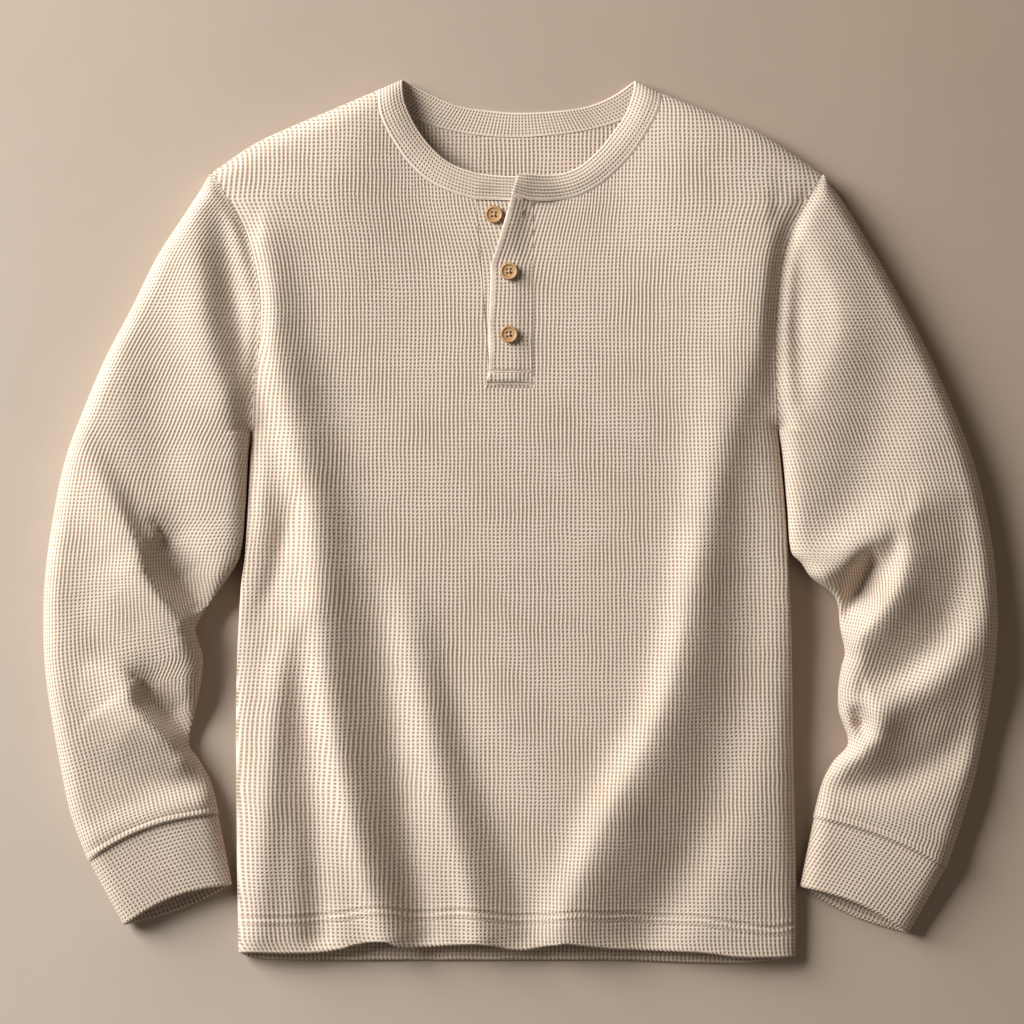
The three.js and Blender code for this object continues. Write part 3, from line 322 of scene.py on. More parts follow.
def roll(distance, width):
    """Quarter-ellipse rise from 0 at the edge to 1 at the full width."""
    left = 1 - np.clip(distance / width, 0, 1)
    return np.sqrt(1 - left * left)


def top_rise(distance, share=ROLL_SHARE, width=RISE):
    """Share of its full height that an upper face has at a distance from a laid edge."""
    return share * roll(distance, ROLL) + (1 - share) * roll(distance, width)


def under_rise(distance):
    """The same for a face underneath."""
    return roll(distance, UNDER_ROLL)


def curve(rows, shares):
    """Points at the given shares of a smooth curve through the rows."""
    knots = np.array(rows, float)
    count = len(knots)
    chords = np.hypot(*np.diff(knots, axis=0).T)
    lengths = np.concatenate([[0], np.cumsum(chords)])
    target = np.atleast_1d(shares) * lengths[-1]
    k = np.minimum(np.searchsorted(lengths[1:], target), count - 2)
    before = np.maximum(np.arange(count) - 1, 0)
    after = np.minimum(np.arange(count) + 1, count - 1)
    slopes = (knots[after] - knots[before]) / (lengths[after] - lengths[before])[:, None]
    span = (lengths[k + 1] - lengths[k])[:, None]
    t = np.clip((target - lengths[k])[:, None] / span, 0, 1)
    t2 = t * t
    t3 = t2 * t
    start = (2 * t3 - 3 * t2 + 1) * knots[k] + (t3 - 2 * t2 + t) * span * slopes[k]
    return start + (3 * t2 - 2 * t3) * knots[k + 1] + (t3 - t2) * span * slopes[k + 1]


def between(stations, count):
    """Evenly stepped values through a list of stations."""
    return np.interp(np.linspace(0, len(stations) - 1, count), np.arange(len(stations)), stations)


def joined(*runs):
    """Runs laid end to end, each of them starting on the last point of the one before."""
    return np.concatenate([runs[0]] + [run[1:] for run in runs[1:]])


def walked(path):
    """Distance along a path at each of its points."""
    return np.concatenate([[0], np.cumsum(np.linalg.norm(np.diff(path, axis=0), axis=1))])


def nearest(path, x, y):
    """Distance to a path, share along it, and the side it is passed on, for arrays of points."""
    best = np.full(np.shape(x), np.inf)
    share = np.zeros(np.shape(x))
    side = np.ones(np.shape(x))
    steps = len(path) - 1
    for i in range(steps):
        ax, ay = path[i]
        dx, dy = path[i + 1] - path[i]
        t = np.clip(((x - ax) * dx + (y - ay) * dy) / (dx * dx + dy * dy), 0, 1)
        off_x = x - ax - t * dx
        off_y = y - ay - t * dy
        distance = np.hypot(off_x, off_y)
        closer = distance < best
        best = np.where(closer, distance, best)
        share = np.where(closer, (i + t) / steps, share)
        side = np.where(closer, np.where(dx * off_y - dy * off_x > 0, 1, -1), side)
    return best, share, side


# Shares at which the lines of the folds and of the edges are read
FOLD_STEPS = np.linspace(0, 1, 25)
EDGE_STEPS = np.linspace(0, 1, 25)


def spread(values, share):
    """Values given at even steps along a line, read at a share of it."""
    return np.interp(share, np.linspace(0, 1, len(values)), values)


def fold_height(folds, x, y):
    """Summed height of the folds over points, each soft to both sides of its line."""
    total = np.zeros(np.shape(x))
    for line, heights, left, right in folds:
        distance, share, side = nearest(curve(line, FOLD_STEPS), x, y)
        width = np.where(side > 0, spread(left, share), spread(right, share))
        total += spread(heights, share) * bell(distance, width)
    return total


# Edges of the body that lie folded, and the seams of the armholes
BODY_EDGES = [
    curve(SIDE_LEFT, EDGE_STEPS),
    curve(SIDE_RIGHT, EDGE_STEPS),
    np.vstack([curve(SHOULDER_LEFT, EDGE_STEPS), BAND_EDGE_LEFT[0]]),
    np.vstack([curve(SHOULDER_RIGHT, EDGE_STEPS), BAND_EDGE_RIGHT[0]]),
]
ARMHOLES = [curve(ARMHOLE_LEFT, EDGE_STEPS), curve(ARMHOLE_RIGHT, EDGE_STEPS)]


def neck_sink(x, y):
    """How far the front sinks toward the neck."""
    past = y - NECK_SLOPE_FROM
    easing = np.maximum(past, 0) ** 2 / (2 * NECK_SLOPE_EASE)
    run = np.where(past < NECK_SLOPE_EASE, easing, past - NECK_SLOPE_EASE / 2)
    return NECK_SLOPE * run * (1 - smoothstep(*NECK_SLOPE_HALF_WIDTH, np.abs(x)))


def edge_level(x, y):
    """Height of the laid edges, which stand up where the sleeves press on the body."""
    beside = bell(np.abs(x) - PRESSED_AT[0], PRESSED_WIDTH[0])
    return EDGE_HEIGHT + PRESSED_RISE * beside * bell(y - PRESSED_AT[1], PRESSED_WIDTH[1])


def body_top(x, y):
    """Height of the front's outer face."""
    x = np.asarray(x, float)
    y = np.asarray(y, float)
    level = edge_level(x, y)
    rise = np.ones(x.shape)
    for edge in BODY_EDGES:
        rise *= top_rise(nearest(edge, x, y)[0])
    hem_sink = HEM_SINK * (1 - smoothstep(0, HEM_SINK_LENGTH, y - HEM_FRONT[0][1]))
    groove = np.zeros(x.shape)
    for seam in ARMHOLES:
        distance, share, _ = nearest(seam, x, y)
        groove += ARMHOLE_GROOVE * np.sin(np.pi * share) * bell(distance, ARMHOLE_GROOVE_WIDTH)
    full = BODY_HEIGHT - level - hem_sink - neck_sink(x, y) - groove + fold_height(BODY_FOLDS, x, y)
    return level + SEAM_GAP / 2 + rise * full


def body_under(x, y):
    """Height of the back's outer face, which lies on the surface."""
    x = np.asarray(x, float)
    y = np.asarray(y, float)
    rise = np.ones(x.shape)
    for edge in BODY_EDGES:
        rise *= under_rise(nearest(edge, x, y)[0])
    return (edge_level(x, y) - SEAM_GAP / 2) * (1 - rise)


def across_path(path):
    """Level unit vectors across a path, at each of its points."""
    before = path[np.maximum(np.arange(len(path)) - 1, 0)]
    after = path[np.minimum(np.arange(len(path)) + 1, len(path) - 1)]
    step = after - before
    return unit(np.stack([step[:, 1], -step[:, 0], np.zeros(len(path))], 1))


def grid_normals(grid, hand, closed_from=None):
    """Outward normals of a grid of points. From row closed_from on, its columns meet in a ring."""
    across = np.empty_like(grid)
    across[:, 1:-1] = grid[:, 2:] - grid[:, :-2]
    across[:, 0] = grid[:, 1] - grid[:, 0]
    across[:, -1] = grid[:, -1] - grid[:, -2]
    if closed_from is not None:
        ring = grid[closed_from:, 1] - grid[closed_from:, -2]
        across[closed_from:, 0] = ring
        across[closed_from:, -1] = ring
    along = np.empty_like(grid)
    along[1:-1] = grid[2:] - grid[:-2]
    along[0] = grid[1] - grid[0]
    along[-1] = grid[-1] - grid[-2]
    return unit(np.cross(across, along)) * hand


def cut_normals(normals, across):
    """Normals of a wall that is cut straight across at a seam."""
    return unit(normals - across * (normals * across).sum(-1, keepdims=True))


def fold_normals(normals, across):
    """Level normals of a wall at a laid edge."""
    outward = np.sign((normals * across).sum(-1, keepdims=True))
    return across * np.where(outward == 0, 1, outward)


def climb(grid, start):
    """How much further the cloth reaches along each row than its plan does, from column start."""
    step = np.diff(grid, axis=1)
    plan = np.hypot(step[..., 0], step[..., 1])
    extra = np.sqrt(plan**2 + step[..., 2] ** 2) - plan
    total = np.concatenate([np.zeros((len(grid), 1)), np.cumsum(extra, axis=1)], axis=1)
    return total - total[:, start : start + 1]


# Places of the lines round a soft rim, as shares of its half turn
ROUND_STEPS = (0.25, 0.5, 0.75)


def make_shell(name, outer, inner, cloth, closed_from=None, kept=None, soft_edges=()):
    """Closed wall of cloth between an outer grid and its inner copy.

    cloth holds the knit's own coordinates at each point: across the ribs and along them. kept marks the
    cells of the grid that exist. soft_edges names the edges that are rounded: start and end for the
    first and last row, left and right for the first and last column.
    """
    rows, columns = outer.shape[:2]
    if kept is None:
        kept = np.ones((rows - 1, columns - 1), bool)
    closed = np.zeros(rows, bool)
    if closed_from is not None:
        closed[closed_from:] = True
    at = np.arange(rows * columns).reshape(rows, columns)
    at[closed, -1] = at[closed, 0]
    points = [outer.reshape(-1, 3), inner.reshape(-1, 3)]
    second = rows * columns
    count = 2 * second
    quads = []
    places = []

    def add(indices, spots):
        quads.append(indices)
        places.append(spots)

    i, j = np.nonzero(kept)
    ring = [(0, 0), (0, 1), (1, 1), (1, 0)]
    corners = np.stack([at[i + a, j + b] for a, b in ring], 1)
    spots = np.stack([cloth[i + a, j + b] for a, b in ring], 1)
    add(corners, spots)
    add(corners[:, ::-1] + second, spots[:, ::-1])

    padded = np.zeros((rows + 1, columns + 1), bool)
    padded[1:-1, 1:-1] = kept
    sides = {
        "start": ((0, 1), (0, 0), padded[:-2, 1:-1]),
        "end": ((1, 0), (1, 1), padded[2:, 1:-1]),
        "left": ((0, 0), (1, 0), padded[1:-1, :-2]),
        "right": ((1, 1), (0, 1), padded[1:-1, 2:]),
    }
    border = {
        "start": (0, None),
        "end": (rows - 2, None),
        "left": (None, 0),
        "right": (None, columns - 2),
    }
    for side, (first, last, neighbour) in sides.items():
        bare = kept & ~neighbour
        if side in ("left", "right"):
            bare &= ~closed[:-1, None]
        i, j = np.nonzero(bare)
        if side in soft_edges:
            row, column = border[side]
            on_border = (i == row) if row is not None else (j == column)
            cells = i[on_border], j[on_border]
            count = add_soft_rim(points, count, add, at, cloth, outer, inner, side, cells, first, last)
            i, j = i[~on_border], j[~on_border]
        a = at[i + first[0], j + first[1]]
        b = at[i + last[0], j + last[1]]
        spot_a = cloth[i + first[0], j + first[1]]
        spot_b = cloth[i + last[0], j + last[1]]
        spots = np.stack([spot_b, spot_a, spot_a, spot_b], 1)
        add(np.stack([b, a, a + second, b + second], 1), spots)

    points = np.concatenate(points)
    quads = np.concatenate(quads)
    places = np.concatenate(places)
    used, quads = np.unique(quads, return_inverse=True)
    mesh = bpy.data.meshes.new(name)
    mesh.from_pydata(((points[used] + FRAME_SHIFT) * MM).tolist(), [], quads.reshape(-1, 4).tolist())
    mesh.shade_smooth()
    coordinates = mesh.attributes.new("cloth", "FLOAT_VECTOR", "CORNER")
    flat = places.reshape(-1, cloth.shape[-1])
    if flat.shape[1] == 2:
        flat = np.column_stack([flat, np.zeros(len(flat))])
    coordinates.data.foreach_set("vector", flat.astype(np.float32).ravel())
    face_out(mesh)
    mesh.set_sharp_from_angle(angle=math.radians(CLOTH_SHARP))
    mesh.update()
    return placed(name, mesh)


def placed(name, data):
    """The object that shows a mesh, a light or a camera in the scene."""
    piece = bpy.data.objects.new(name, data)
    bpy.context.scene.collection.objects.link(piece)
    return piece


def add_soft_rim(points, count, add, at, cloth, outer, inner, side, cells, first, last):
    """Half-round rim between the outer and the inner grid along one edge, flat at its two ends."""
    second = at.size
    i, j = cells
    if side in ("start", "end"):
        row = 0 if side == "start" else outer.shape[0] - 1
        back = 1 if side == "start" else -1
        line = (row, slice(None))
        out = unit(outer[row] - outer[row + back])
        a, b = j + first[1], j + last[1]
    else:
        column = 0 if side == "left" else outer.shape[1] - 1
        back = 1 if side == "left" else -1
        line = (slice(None), column)
        out = unit(outer[:, column] - outer[:, column + back])
        a, b = i + first[0], i + last[0]
    ids = at[line]
    wall = np.linalg.norm(inner[line] - outer[line], axis=-1, keepdims=True)
    ends = np.ones(len(ids))
    if ids[0] != ids[-1]:
        ends[[0, -1]] = 0
    lines = [ids]
    for share in ROUND_STEPS:
        angle = math.pi * share
        bulge = out * wall / 2 * math.sin(angle) * ends[:, None]
        points.append(lerp(outer[line], inner[line], (1 - math.cos(angle)) / 2) + bulge)
        new_ids = count + np.arange(len(ids))
        if ids[0] == ids[-1]:
            new_ids[-1] = new_ids[0]
        lines.append(new_ids)
        count += len(ids)
    lines.append(ids + second)
    spots = cloth[line]
    for upper, lower in zip(lines, lines[1:]):
        quad = np.stack([upper[b], upper[a], lower[a], lower[b]], 1)
        add(quad, np.stack([spots[b], spots[a], spots[a], spots[b]], 1))
    return count


def face_out(mesh):
    """Turns a closed mesh right side out."""
    count = len(mesh.vertices)
    points = np.empty(count * 3)
    mesh.vertices.foreach_get("co", points)
    points = points.reshape(-1, 3)
    mesh.calc_loop_triangles()
    corners = np.empty(len(mesh.loop_triangles) * 3, np.int32)
    mesh.loop_triangles.foreach_get("vertices", corners)
    a, b, c = points[corners.reshape(-1, 3)].transpose(1, 0, 2)
    if np.einsum("ij,ij->", a, np.cross(b, c)) < 0:
        mesh.flip_normals()


def side_line(table, armhole):
    """A body edge from the hem to the shoulder tip, as rising y values and their x."""
    path = joined(curve(table, EDGE_STEPS), curve(armhole, EDGE_STEPS))
    order = np.argsort(path[:, 1])
    return path[order, 1], path[order, 0]


SIDE_LINES = (side_line(SIDE_LEFT, ARMHOLE_LEFT), side_line(SIDE_RIGHT, ARMHOLE_RIGHT))
# Where each side edge would lie if its ribs ran straight, and how far in and by how much it bends them
SIDE_REST = (-219.0, 214.0)
WALES_BEND = 70.0
WALES_BEND_LIMIT = 14.0


def wales(x, y):
    """Place across the ribs of a body panel. The ribs stand upright and bend along its side edges."""
    place = x.copy()
    for (edge_y, edge_x), rest in zip(SIDE_LINES, SIDE_REST):
        edge = np.interp(y, edge_y, edge_x)
        shift = np.clip(edge - rest, -WALES_BEND_LIMIT, WALES_BEND_LIMIT)
        place = place - shift * np.exp(-np.abs(x - edge) / WALES_BEND)
    return place


# Lean of the ribs beside the placket: its slope on the left and the stretch where it grows, how far it
# reaches aside, and the steps over which its bend is softened
LEAN_LEFT = 0.29
LEAN_SPAN = (207.0, 262.0)
LEAN_REACH = 52.0
LEAN_SOFT = (-20, -10, 0, 10, 20)
# Width of the folded edge of the overlap, which shows no pits, and the place on a rib that it shows
FOLDED_EDGE = 2.3
FOLDED_SHADE = 0.45
# Where the overlap's left edge would go on to within the neckband
OVER_LEFT_RAISED = (2.0, 281.0)
# Lift of the overlap's free edge, the stretch over which it rises, and how far in it reaches
CURL = 3.4
CURL_SPAN = (198.0, 238.0)
CURL_WIDTH = 13.0


def over_left(y):
    """Left edge of the overlap, carried on upwards into the neckband's end."""
    x, height = np.array([OVER_LEFT_RAISED, *OVER_LEFT])[::-1].T
    return np.interp(y, height, x)


def lean_right(y):
    """How far the ribs right of the placket lean over with the overlap's edge."""
    return np.where(y > OVER_LEFT[3][1], over_left(y) - OVER_LEFT[3][0], 0)


def lean_left(y):
    """How far the ribs left of the placket lean away from it."""
    return LEAN_LEFT * (np.clip(y, *LEAN_SPAN) - LEAN_SPAN[0])


def softened(lean, y):
    """Lean of the ribs with its bend spread over a longer stretch."""
    return sum(lean(y + step) for step in LEAN_SOFT) / len(LEAN_SOFT)


def front_wales(x, y):
    """Place across the ribs of the front, which lean away from the placket above its second button."""
    right = softened(lean_right, y) * bell(np.maximum(x - OVER_RIGHT[0][0], 0), LEAN_REACH)
    left = softened(lean_left, y) * bell(np.maximum(SLIT_LEFT[0][0] - x, 0), LEAN_REACH)
    middle = (SLIT_LEFT[1][0] + SLIT_RIGHT[1][0]) / 2
    return wales(x, y) - np.where(x > middle, right, -left) - OVER_LEFT[3][0] - FOLDED_EDGE


def over_curl(x, y):
    """Lift of the overlap's free edge above the second button, where it stands up from the chest."""
    return CURL * smoothstep(*CURL_SPAN, y) * bell(x - over_left(y), CURL_WIDTH)


def body_grid(neckline, neck_hem, hem_table, side_steps):
    """Plan of a body panel, as a patch between its hem, sides and top edge."""
    shoulder_shares = between(SHOULDER_SHARES, SHOULDER_COLUMNS)
    hem_edge = between(HEM_EDGE_SHARES, SHOULDER_COLUMNS)
    shoulder_left = curve(SHOULDER_LEFT, shoulder_shares)
    shoulder_right = curve(SHOULDER_RIGHT, shoulder_shares)[::-1]
    top = joined(shoulder_left, neckline, shoulder_right)
    hem_shares = joined(hem_edge, neck_hem, 1 - hem_edge[::-1])
    hem = curve(hem_table, hem_shares)
    armhole_shares = between(ARMHOLE_SHARES, ARMHOLE_ROWS)
    left = joined(curve(SIDE_LEFT, side_steps), curve(ARMHOLE_LEFT, armhole_shares))
    right = joined(curve(SIDE_RIGHT, side_steps), curve(ARMHOLE_RIGHT, armhole_shares))
    levels = (left[:, 1] - left[0, 1]) / (left[-1, 1] - left[0, 1])
    v = np.stack([levels**COLUMN_FLARE, levels], 1)[:, None]
    u = hem_shares[None, :, None]
    sides = lerp(left[:, None], right[:, None], u)
    ends = lerp(hem[None], top[None], v)
    corners = lerp(lerp(left[0], right[0], u), lerp(left[-1], right[-1], u), v)
    return sides + ends - corners, top, left, right


def body_walls(plan, top, left, right, side_rows, z, hand, wall):
    """Outer and inner grid of a body panel."""
    outer = np.dstack([plan, z])
    normals = grid_normals(outer, hand)
    for column, path in ((0, left), (-1, right)):
        across = across_path(path)
        edge = normals[:, column]
        fold = fold_normals(edge, across)
        cut = cut_normals(edge, across)
        is_side = (np.arange(len(path)) < side_rows)[:, None]
        normals[:, column] = np.where(is_side, fold, cut)
    across = across_path(top)
    from_end = np.minimum(np.arange(len(top)), np.arange(len(top))[::-1])
    shoulder = (from_end < SHOULDER_COLUMNS)[:, None]
    edge = normals[-1]
    normals[-1] = np.where(shoulder, fold_normals(edge, across), cut_normals(edge, across))
    return outer, outer - normals * wall[..., None]


def side_steps(rows, hem_rows):
    """Shares up a side seam, closer together in the hem."""
    return joined(np.linspace(0, HEM_SHARE, hem_rows), np.linspace(HEM_SHARE, 1, rows))


# Stretch over which the wall thickens at the hem's stitch line
HEM_WALL_EASE = 2.0


def panel_thickness(plan, sizes):
    """Wall of a body panel, doubled up below the hem's stitch line."""
    level = HEM_STITCH[0][1]
    above = smoothstep(level - HEM_WALL_EASE, level + HEM_WALL_EASE, plan[..., 1])
    return lerp(sizes.hem_wall / MM, sizes.wall / MM, above)


def panel_cloth(ribs, outer):
    """Knit coordinates of a body panel. Its folds take up cloth, counted from its middle column."""
    middle = outer.shape[1] // 2
    taken_up = climb(outer, middle) * np.sign(np.arange(outer.shape[1]) - middle)
    return np.dstack([ribs + taken_up, outer[..., 1]])


# Groove along a row of stitches in the hem, and the points of the line that it is measured from
STITCH_GROOVE = 0.9
STITCH_GROOVE_WIDTH = 1.5
STITCH_LINE_POINTS = 60
# The hem's second row of stitches: how far under the first, and its depth as a share of the first's
HEM_ROW_GAP = 6.0
LOWER_ROW_SHARE = 0.5
# Rolls of the hem between its rows and above them: height, and for the upper one its place and width
HEM_PUFF = 0.5
HEM_ROLL = (0.5, 2.6, 1.5)


def hem_relief(x, y):
    """Dents along the two stitch rows of the front's hem, and the rolls beside them."""
    path = curve(HEM_STITCH, np.linspace(0, 1, STITCH_LINE_POINTS))
    above = y - np.interp(x, path[:, 0], path[:, 1])
    upper = bell(above, STITCH_GROOVE_WIDTH)
    lower = bell(above + HEM_ROW_GAP, STITCH_GROOVE_WIDTH)
    height, place, width = HEM_ROLL
    roll_above = height * bell(above - place, width)
    puff = HEM_PUFF * bell(above + HEM_ROW_GAP / 2, HEM_ROW_GAP / 3)
    return roll_above + puff - STITCH_GROOVE * (upper + LOWER_ROW_SHARE * lower)


def front_face(x, y):
    """Height of the front's outer face with its stitched relief."""
    return body_top(x, y) + hem_relief(x, y)


# Columns of the front's grid that follow the edges of the slit. The move eases out over a length below
# the slit's foot, and over a number of columns aside
SLIT_FROM = SHOULDER_COLUMNS + NECKLINE_COLUMNS - 2
SLIT_TO = SLIT_FROM + SLIT_COLUMNS - 1
SLIT_EASE_BELOW = 120
SLIT_EASE_ASIDE = 24


def follow_slit(plan):
    """Moves the columns beside the slit onto its edges, and those next to them by less."""
    for column, line in ((SLIT_FROM, SLIT_LEFT), (SLIT_TO, SLIT_RIGHT)):
        (x_top, y_top), (x_foot, y_foot) = line
        y = plan[:, column, 1]
        y_free = y_foot - SLIT_EASE_BELOW
        wanted = np.interp(y, [y_free, y_foot, y_top], [plan[0, column, 0], x_foot, x_top])
        shift = np.where(y > y_free, wanted - plan[:, column, 0], 0)
        shift[-1] = 0
        side = np.arange(plan.shape[1]) - column
        outside = side < 0 if column == SLIT_FROM else side > 0
        reach = np.where(outside, np.clip(1 - np.abs(side) / SLIT_EASE_ASIDE, 0, 1), 0)
        reach[column] = 1
        plan[..., 0] += shift[:, None] * reach[None]
    inside = np.linspace(0, 1, SLIT_COLUMNS)
    edges = plan[:, SLIT_FROM, None, 0], plan[:, SLIT_TO, None, 0]
    plan[:, SLIT_FROM : SLIT_TO + 1, 0] = lerp(*edges, inside)


def build_front(sizes):
    """Front panel with its turned-up hem and the slit that the placket closes."""
    shares = between(NECKLINE_SHARES, NECKLINE_COLUMNS)
    slit = curve(NECKLINE_SLIT, np.linspace(0, 1, SLIT_COLUMNS))
    neckline = joined(curve(NECKLINE_LEFT, shares), slit, curve(NECKLINE_RIGHT, shares)[::-1])
    slit_left, slit_right = HEM_SLIT_SHARES
    neck_hem = joined(
        np.linspace(HEM_EDGE_SHARES[-1], slit_left, NECKLINE_COLUMNS),
        np.linspace(slit_left, slit_right, SLIT_COLUMNS),
        np.linspace(slit_right, 1 - HEM_EDGE_SHARES[-1], NECKLINE_COLUMNS),
    )
    steps = side_steps(*FRONT_SIDE_ROWS)
    plan, top, left, right = body_grid(neckline, neck_hem, HEM_FRONT, steps)
    follow_slit(plan)
    z = front_face(plan[..., 0], plan[..., 1])
    thick = panel_thickness(plan, sizes)
    outer, inner = body_walls(plan, top, left, right, len(steps), z, 1, thick)
    kept = np.ones((plan.shape[0] - 1, plan.shape[1] - 1), bool)
    foot_row = int(np.argmin(np.abs(plan[:, SLIT_FROM, 1] - SLIT_LEFT[1][1])))
    kept[foot_row:, SLIT_FROM:SLIT_TO] = False
    cloth = panel_cloth(front_wales(plan[..., 0], plan[..., 1]), outer)
    return make_shell("front_panel", outer, inner, cloth, kept=kept, soft_edges=("start",))


def build_back(sizes):
    """Back panel with its turned-up hem."""
    neckline = curve(NECKLINE_BACK, np.linspace(0, 1, BACK_COLUMNS))
    neck_hem = np.linspace(HEM_EDGE_SHARES[-1], 1 - HEM_EDGE_SHARES[-1], BACK_COLUMNS)
    steps = side_steps(*BACK_SIDE_ROWS)
    plan, top, left, right = body_grid(neckline, neck_hem, HEM_BACK, steps)
    z = body_under(plan[..., 0], plan[..., 1])
    thick = panel_thickness(plan, sizes)
    outer, inner = body_walls(plan, top, left, right, len(steps), z, -1, thick)
    cloth = panel_cloth(wales(plan[..., 0], plan[..., 1]), outer)
    return make_shell("back_panel", outer, inner, cloth, soft_edges=("start",))


def eased(count):
    """Shares from 0 to 1 that lie closer together at both ends."""
    return 0.5 - 0.5 * np.cos(np.pi * np.linspace(0, 1, count))


# Shares around a sleeve's ring, over its top from the inner edge and back along its underside
TOP_SHARES = eased(57)
UNDER_SHARES = eased(29)[::-1][1:]
# Rings of a sleeve along the armhole, down its length, and close together above the cuff
ARMHOLE_RINGS = 91
LENGTH_RINGS = 112
CUFF_RINGS = 12
CUFF_RINGS_FROM = 0.97
ARMPIT_EASE = 25.0
# A sleeve rises sooner at its edges than the body does, and lies flatter between them
SLEEVE_RISE = (0.74, 40.0)
# Shares of a sleeve's length where it has its full height, where it starts to sink, and to bow
FULL_FROM = 0.4
SINKS_FROM = 0.7
BOWS_FROM = 0.9
# Ridge above the cuff's seam: height, width and place
SEAM_RIDGE = 1.7
SEAM_RIDGE_WIDTH = 2.0
SEAM_RIDGE_AT = 2.6
# Rings of a cuff, as shares of its length, how far its first one sits in from the sleeve's wall, and
# how many seam gaps it lies below the sleeve's last ring
CUFF_STEPS = joined(np.linspace(0, 0.06, 6), np.linspace(0.06, 1, 34))
CUFF_STEP = 0.9
CUFF_SEAM_GAPS = 1.3
# Round rim of a cuff's mouth, as shares of the wall's thickness and of the cuff's length
CUFF_RIM = 1.5
CUFF_RIM_FROM = 0.88


def sleeve_rings(side, hand):
    """Rings of a sleeve from the shoulder tip down, the first ones ending on the armhole seam."""
    armhole_table = ARMHOLE_LEFT if side == "left" else ARMHOLE_RIGHT
    inner_table = INNER_LEFT if side == "left" else INNER_RIGHT
    outer_table = OUTER_LEFT if side == "left" else OUTER_RIGHT
    armhole = curve(armhole_table, between(ARMHOLE_SHARES, ARMHOLE_RINGS))[::-1]
    upper = np.linspace(0, CUFF_RINGS_FROM, LENGTH_RINGS)
    lower = np.linspace(CUFF_RINGS_FROM, 1, CUFF_RINGS)
    inner_path = joined(armhole, curve(inner_table, joined(upper, lower)))
    far = walked(inner_path)
    armpit = len(armhole) - 1
    rows = np.arange(2, len(inner_path))
    share = far[rows] / far[-1]
    out = curve(outer_table, share)
    start = inner_path[rows]
    seam_out = across_path(armhole) * hand * SEAM_GAP
    away = seam_out[np.minimum(rows, armpit), :2] * -1
    is_open = rows < armpit
    above = np.maximum(far[armpit] - far[rows], 0)
    to_armpit = (above**2 / (above + ARMPIT_EASE))[:, None]
    width = np.linalg.norm(out - start, axis=1)[:, None]
    full = lerp(BODY_HEIGHT, SLEEVE_HEIGHT, smoothstep(0, FULL_FROM, share))
    crown = (lerp(full, CUFF_SEAM_HEIGHT, smoothstep(SINKS_FROM, 1, share)) - EDGE_HEIGHT)[:, None]
    bow = CUFFS[side]["seam"] * smoothstep(BOWS_FROM, 1, share)
    down = unit(np.stack([start[:, 1] - out[:, 1], out[:, 0] - start[:, 0]], 1))
    down *= np.where(down[:, 1:] > 0, -1, 1)

    def ring_points(shares, under):
        reach = shares[None]
        bow_here = bow[:, None] * np.sin(np.pi * reach)
        x = lerp(start[:, :1], out[:, :1], reach) + down[:, :1] * bow_here
        y = lerp(start[:, 1:], out[:, 1:], reach) + down[:, 1:] * bow_here
        from_inner = reach * width
        from_outer = width - from_inner
        pull = np.where(is_open[:, None], bell(from_inner, SEAM_BLEND), 0)
        shift = 1 - smoothstep(0, 2 * SEAM_BLEND, from_inner)
        if under:
            rise = under_rise(from_outer) * under_rise(from_inner + to_armpit)
            z = lerp(edge_level(x, y) * (1 - rise), body_under(x, y), pull)
        else:
            rise = top_rise(from_outer, *SLEEVE_RISE) * top_rise(from_inner + to_armpit, *SLEEVE_RISE)
            seam_far = (far[-1] - far[rows])[:, None]
            ridge = SEAM_RIDGE * bell(seam_far - SEAM_RIDGE_AT, SEAM_RIDGE_WIDTH)
            level = edge_level(x, y)
            folded = crown + EDGE_HEIGHT - level + fold_height(SLEEVE_FOLDS[side], x, y) + ridge
            z = lerp(level + rise * folded, body_top(x, y), pull)
        return np.dstack([x + away[:, :1] * shift, y + away[:, 1:] * shift, z])

    rings = np.concatenate([ring_points(TOP_SHARES, False), ring_points(UNDER_SHARES, True)], axis=1)
    return rings, seam_out, rows, armpit, share


def ring_reach(rings):
    """Distance of each point of a ring from the outer edge, over the top positive, below negative."""
    step = np.linalg.norm(np.diff(rings, axis=1), axis=2)
    total = np.concatenate([np.zeros((len(rings), 1)), np.cumsum(step, axis=1)], axis=1)
    turn = len(TOP_SHARES) - 1
    return total[:, turn : turn + 1] - total


def down_from(across):
    """Level unit vector square to a line across a sleeve, toward its cuff."""
    down = unit(np.array([across[1], -across[0], 0]))
    return down * (-1 if down[1] > 0 else 1)


def build_sleeve(side, hand, sizes):
    """A sleeve, with its last ring, that ring's normals and the way down from it for the cuff."""
    rings, seam_out, rows, armpit, share = sleeve_rings(side, hand)
    closed_from = int(np.argmax(rows == armpit))
    normals = grid_normals(rings, -hand, closed_from)
    seam = unit(seam_out[rows[:closed_from]])
    for column in (0, -1):
        normals[:closed_from, column] = cut_normals(normals[:closed_from, column], seam)
    turn = len(TOP_SHARES) - 1
    down = down_from(rings[-1, turn] - rings[-1, 0])
    normals[-1] = cut_normals(normals[-1], down)
    width = np.linalg.norm(rings[:, 0] - rings[:, turn], axis=1)
    wall = np.minimum(sizes.wall / MM, TIP_WALL_SHARE * width)[:, None, None]
    outer_table = OUTER_LEFT if side == "left" else OUTER_RIGHT
    length = walked(curve(outer_table, EDGE_STEPS))[-1]
    along = np.broadcast_to(-share[:, None] * length, rings.shape[:2])
    cloth = np.dstack([ring_reach(rings), along])
    inner = rings - normals * wall
    piece = make_shell(f"{side}_sleeve", rings, inner, cloth, closed_from=closed_from)
    return piece, rings[-1], normals[-1], down


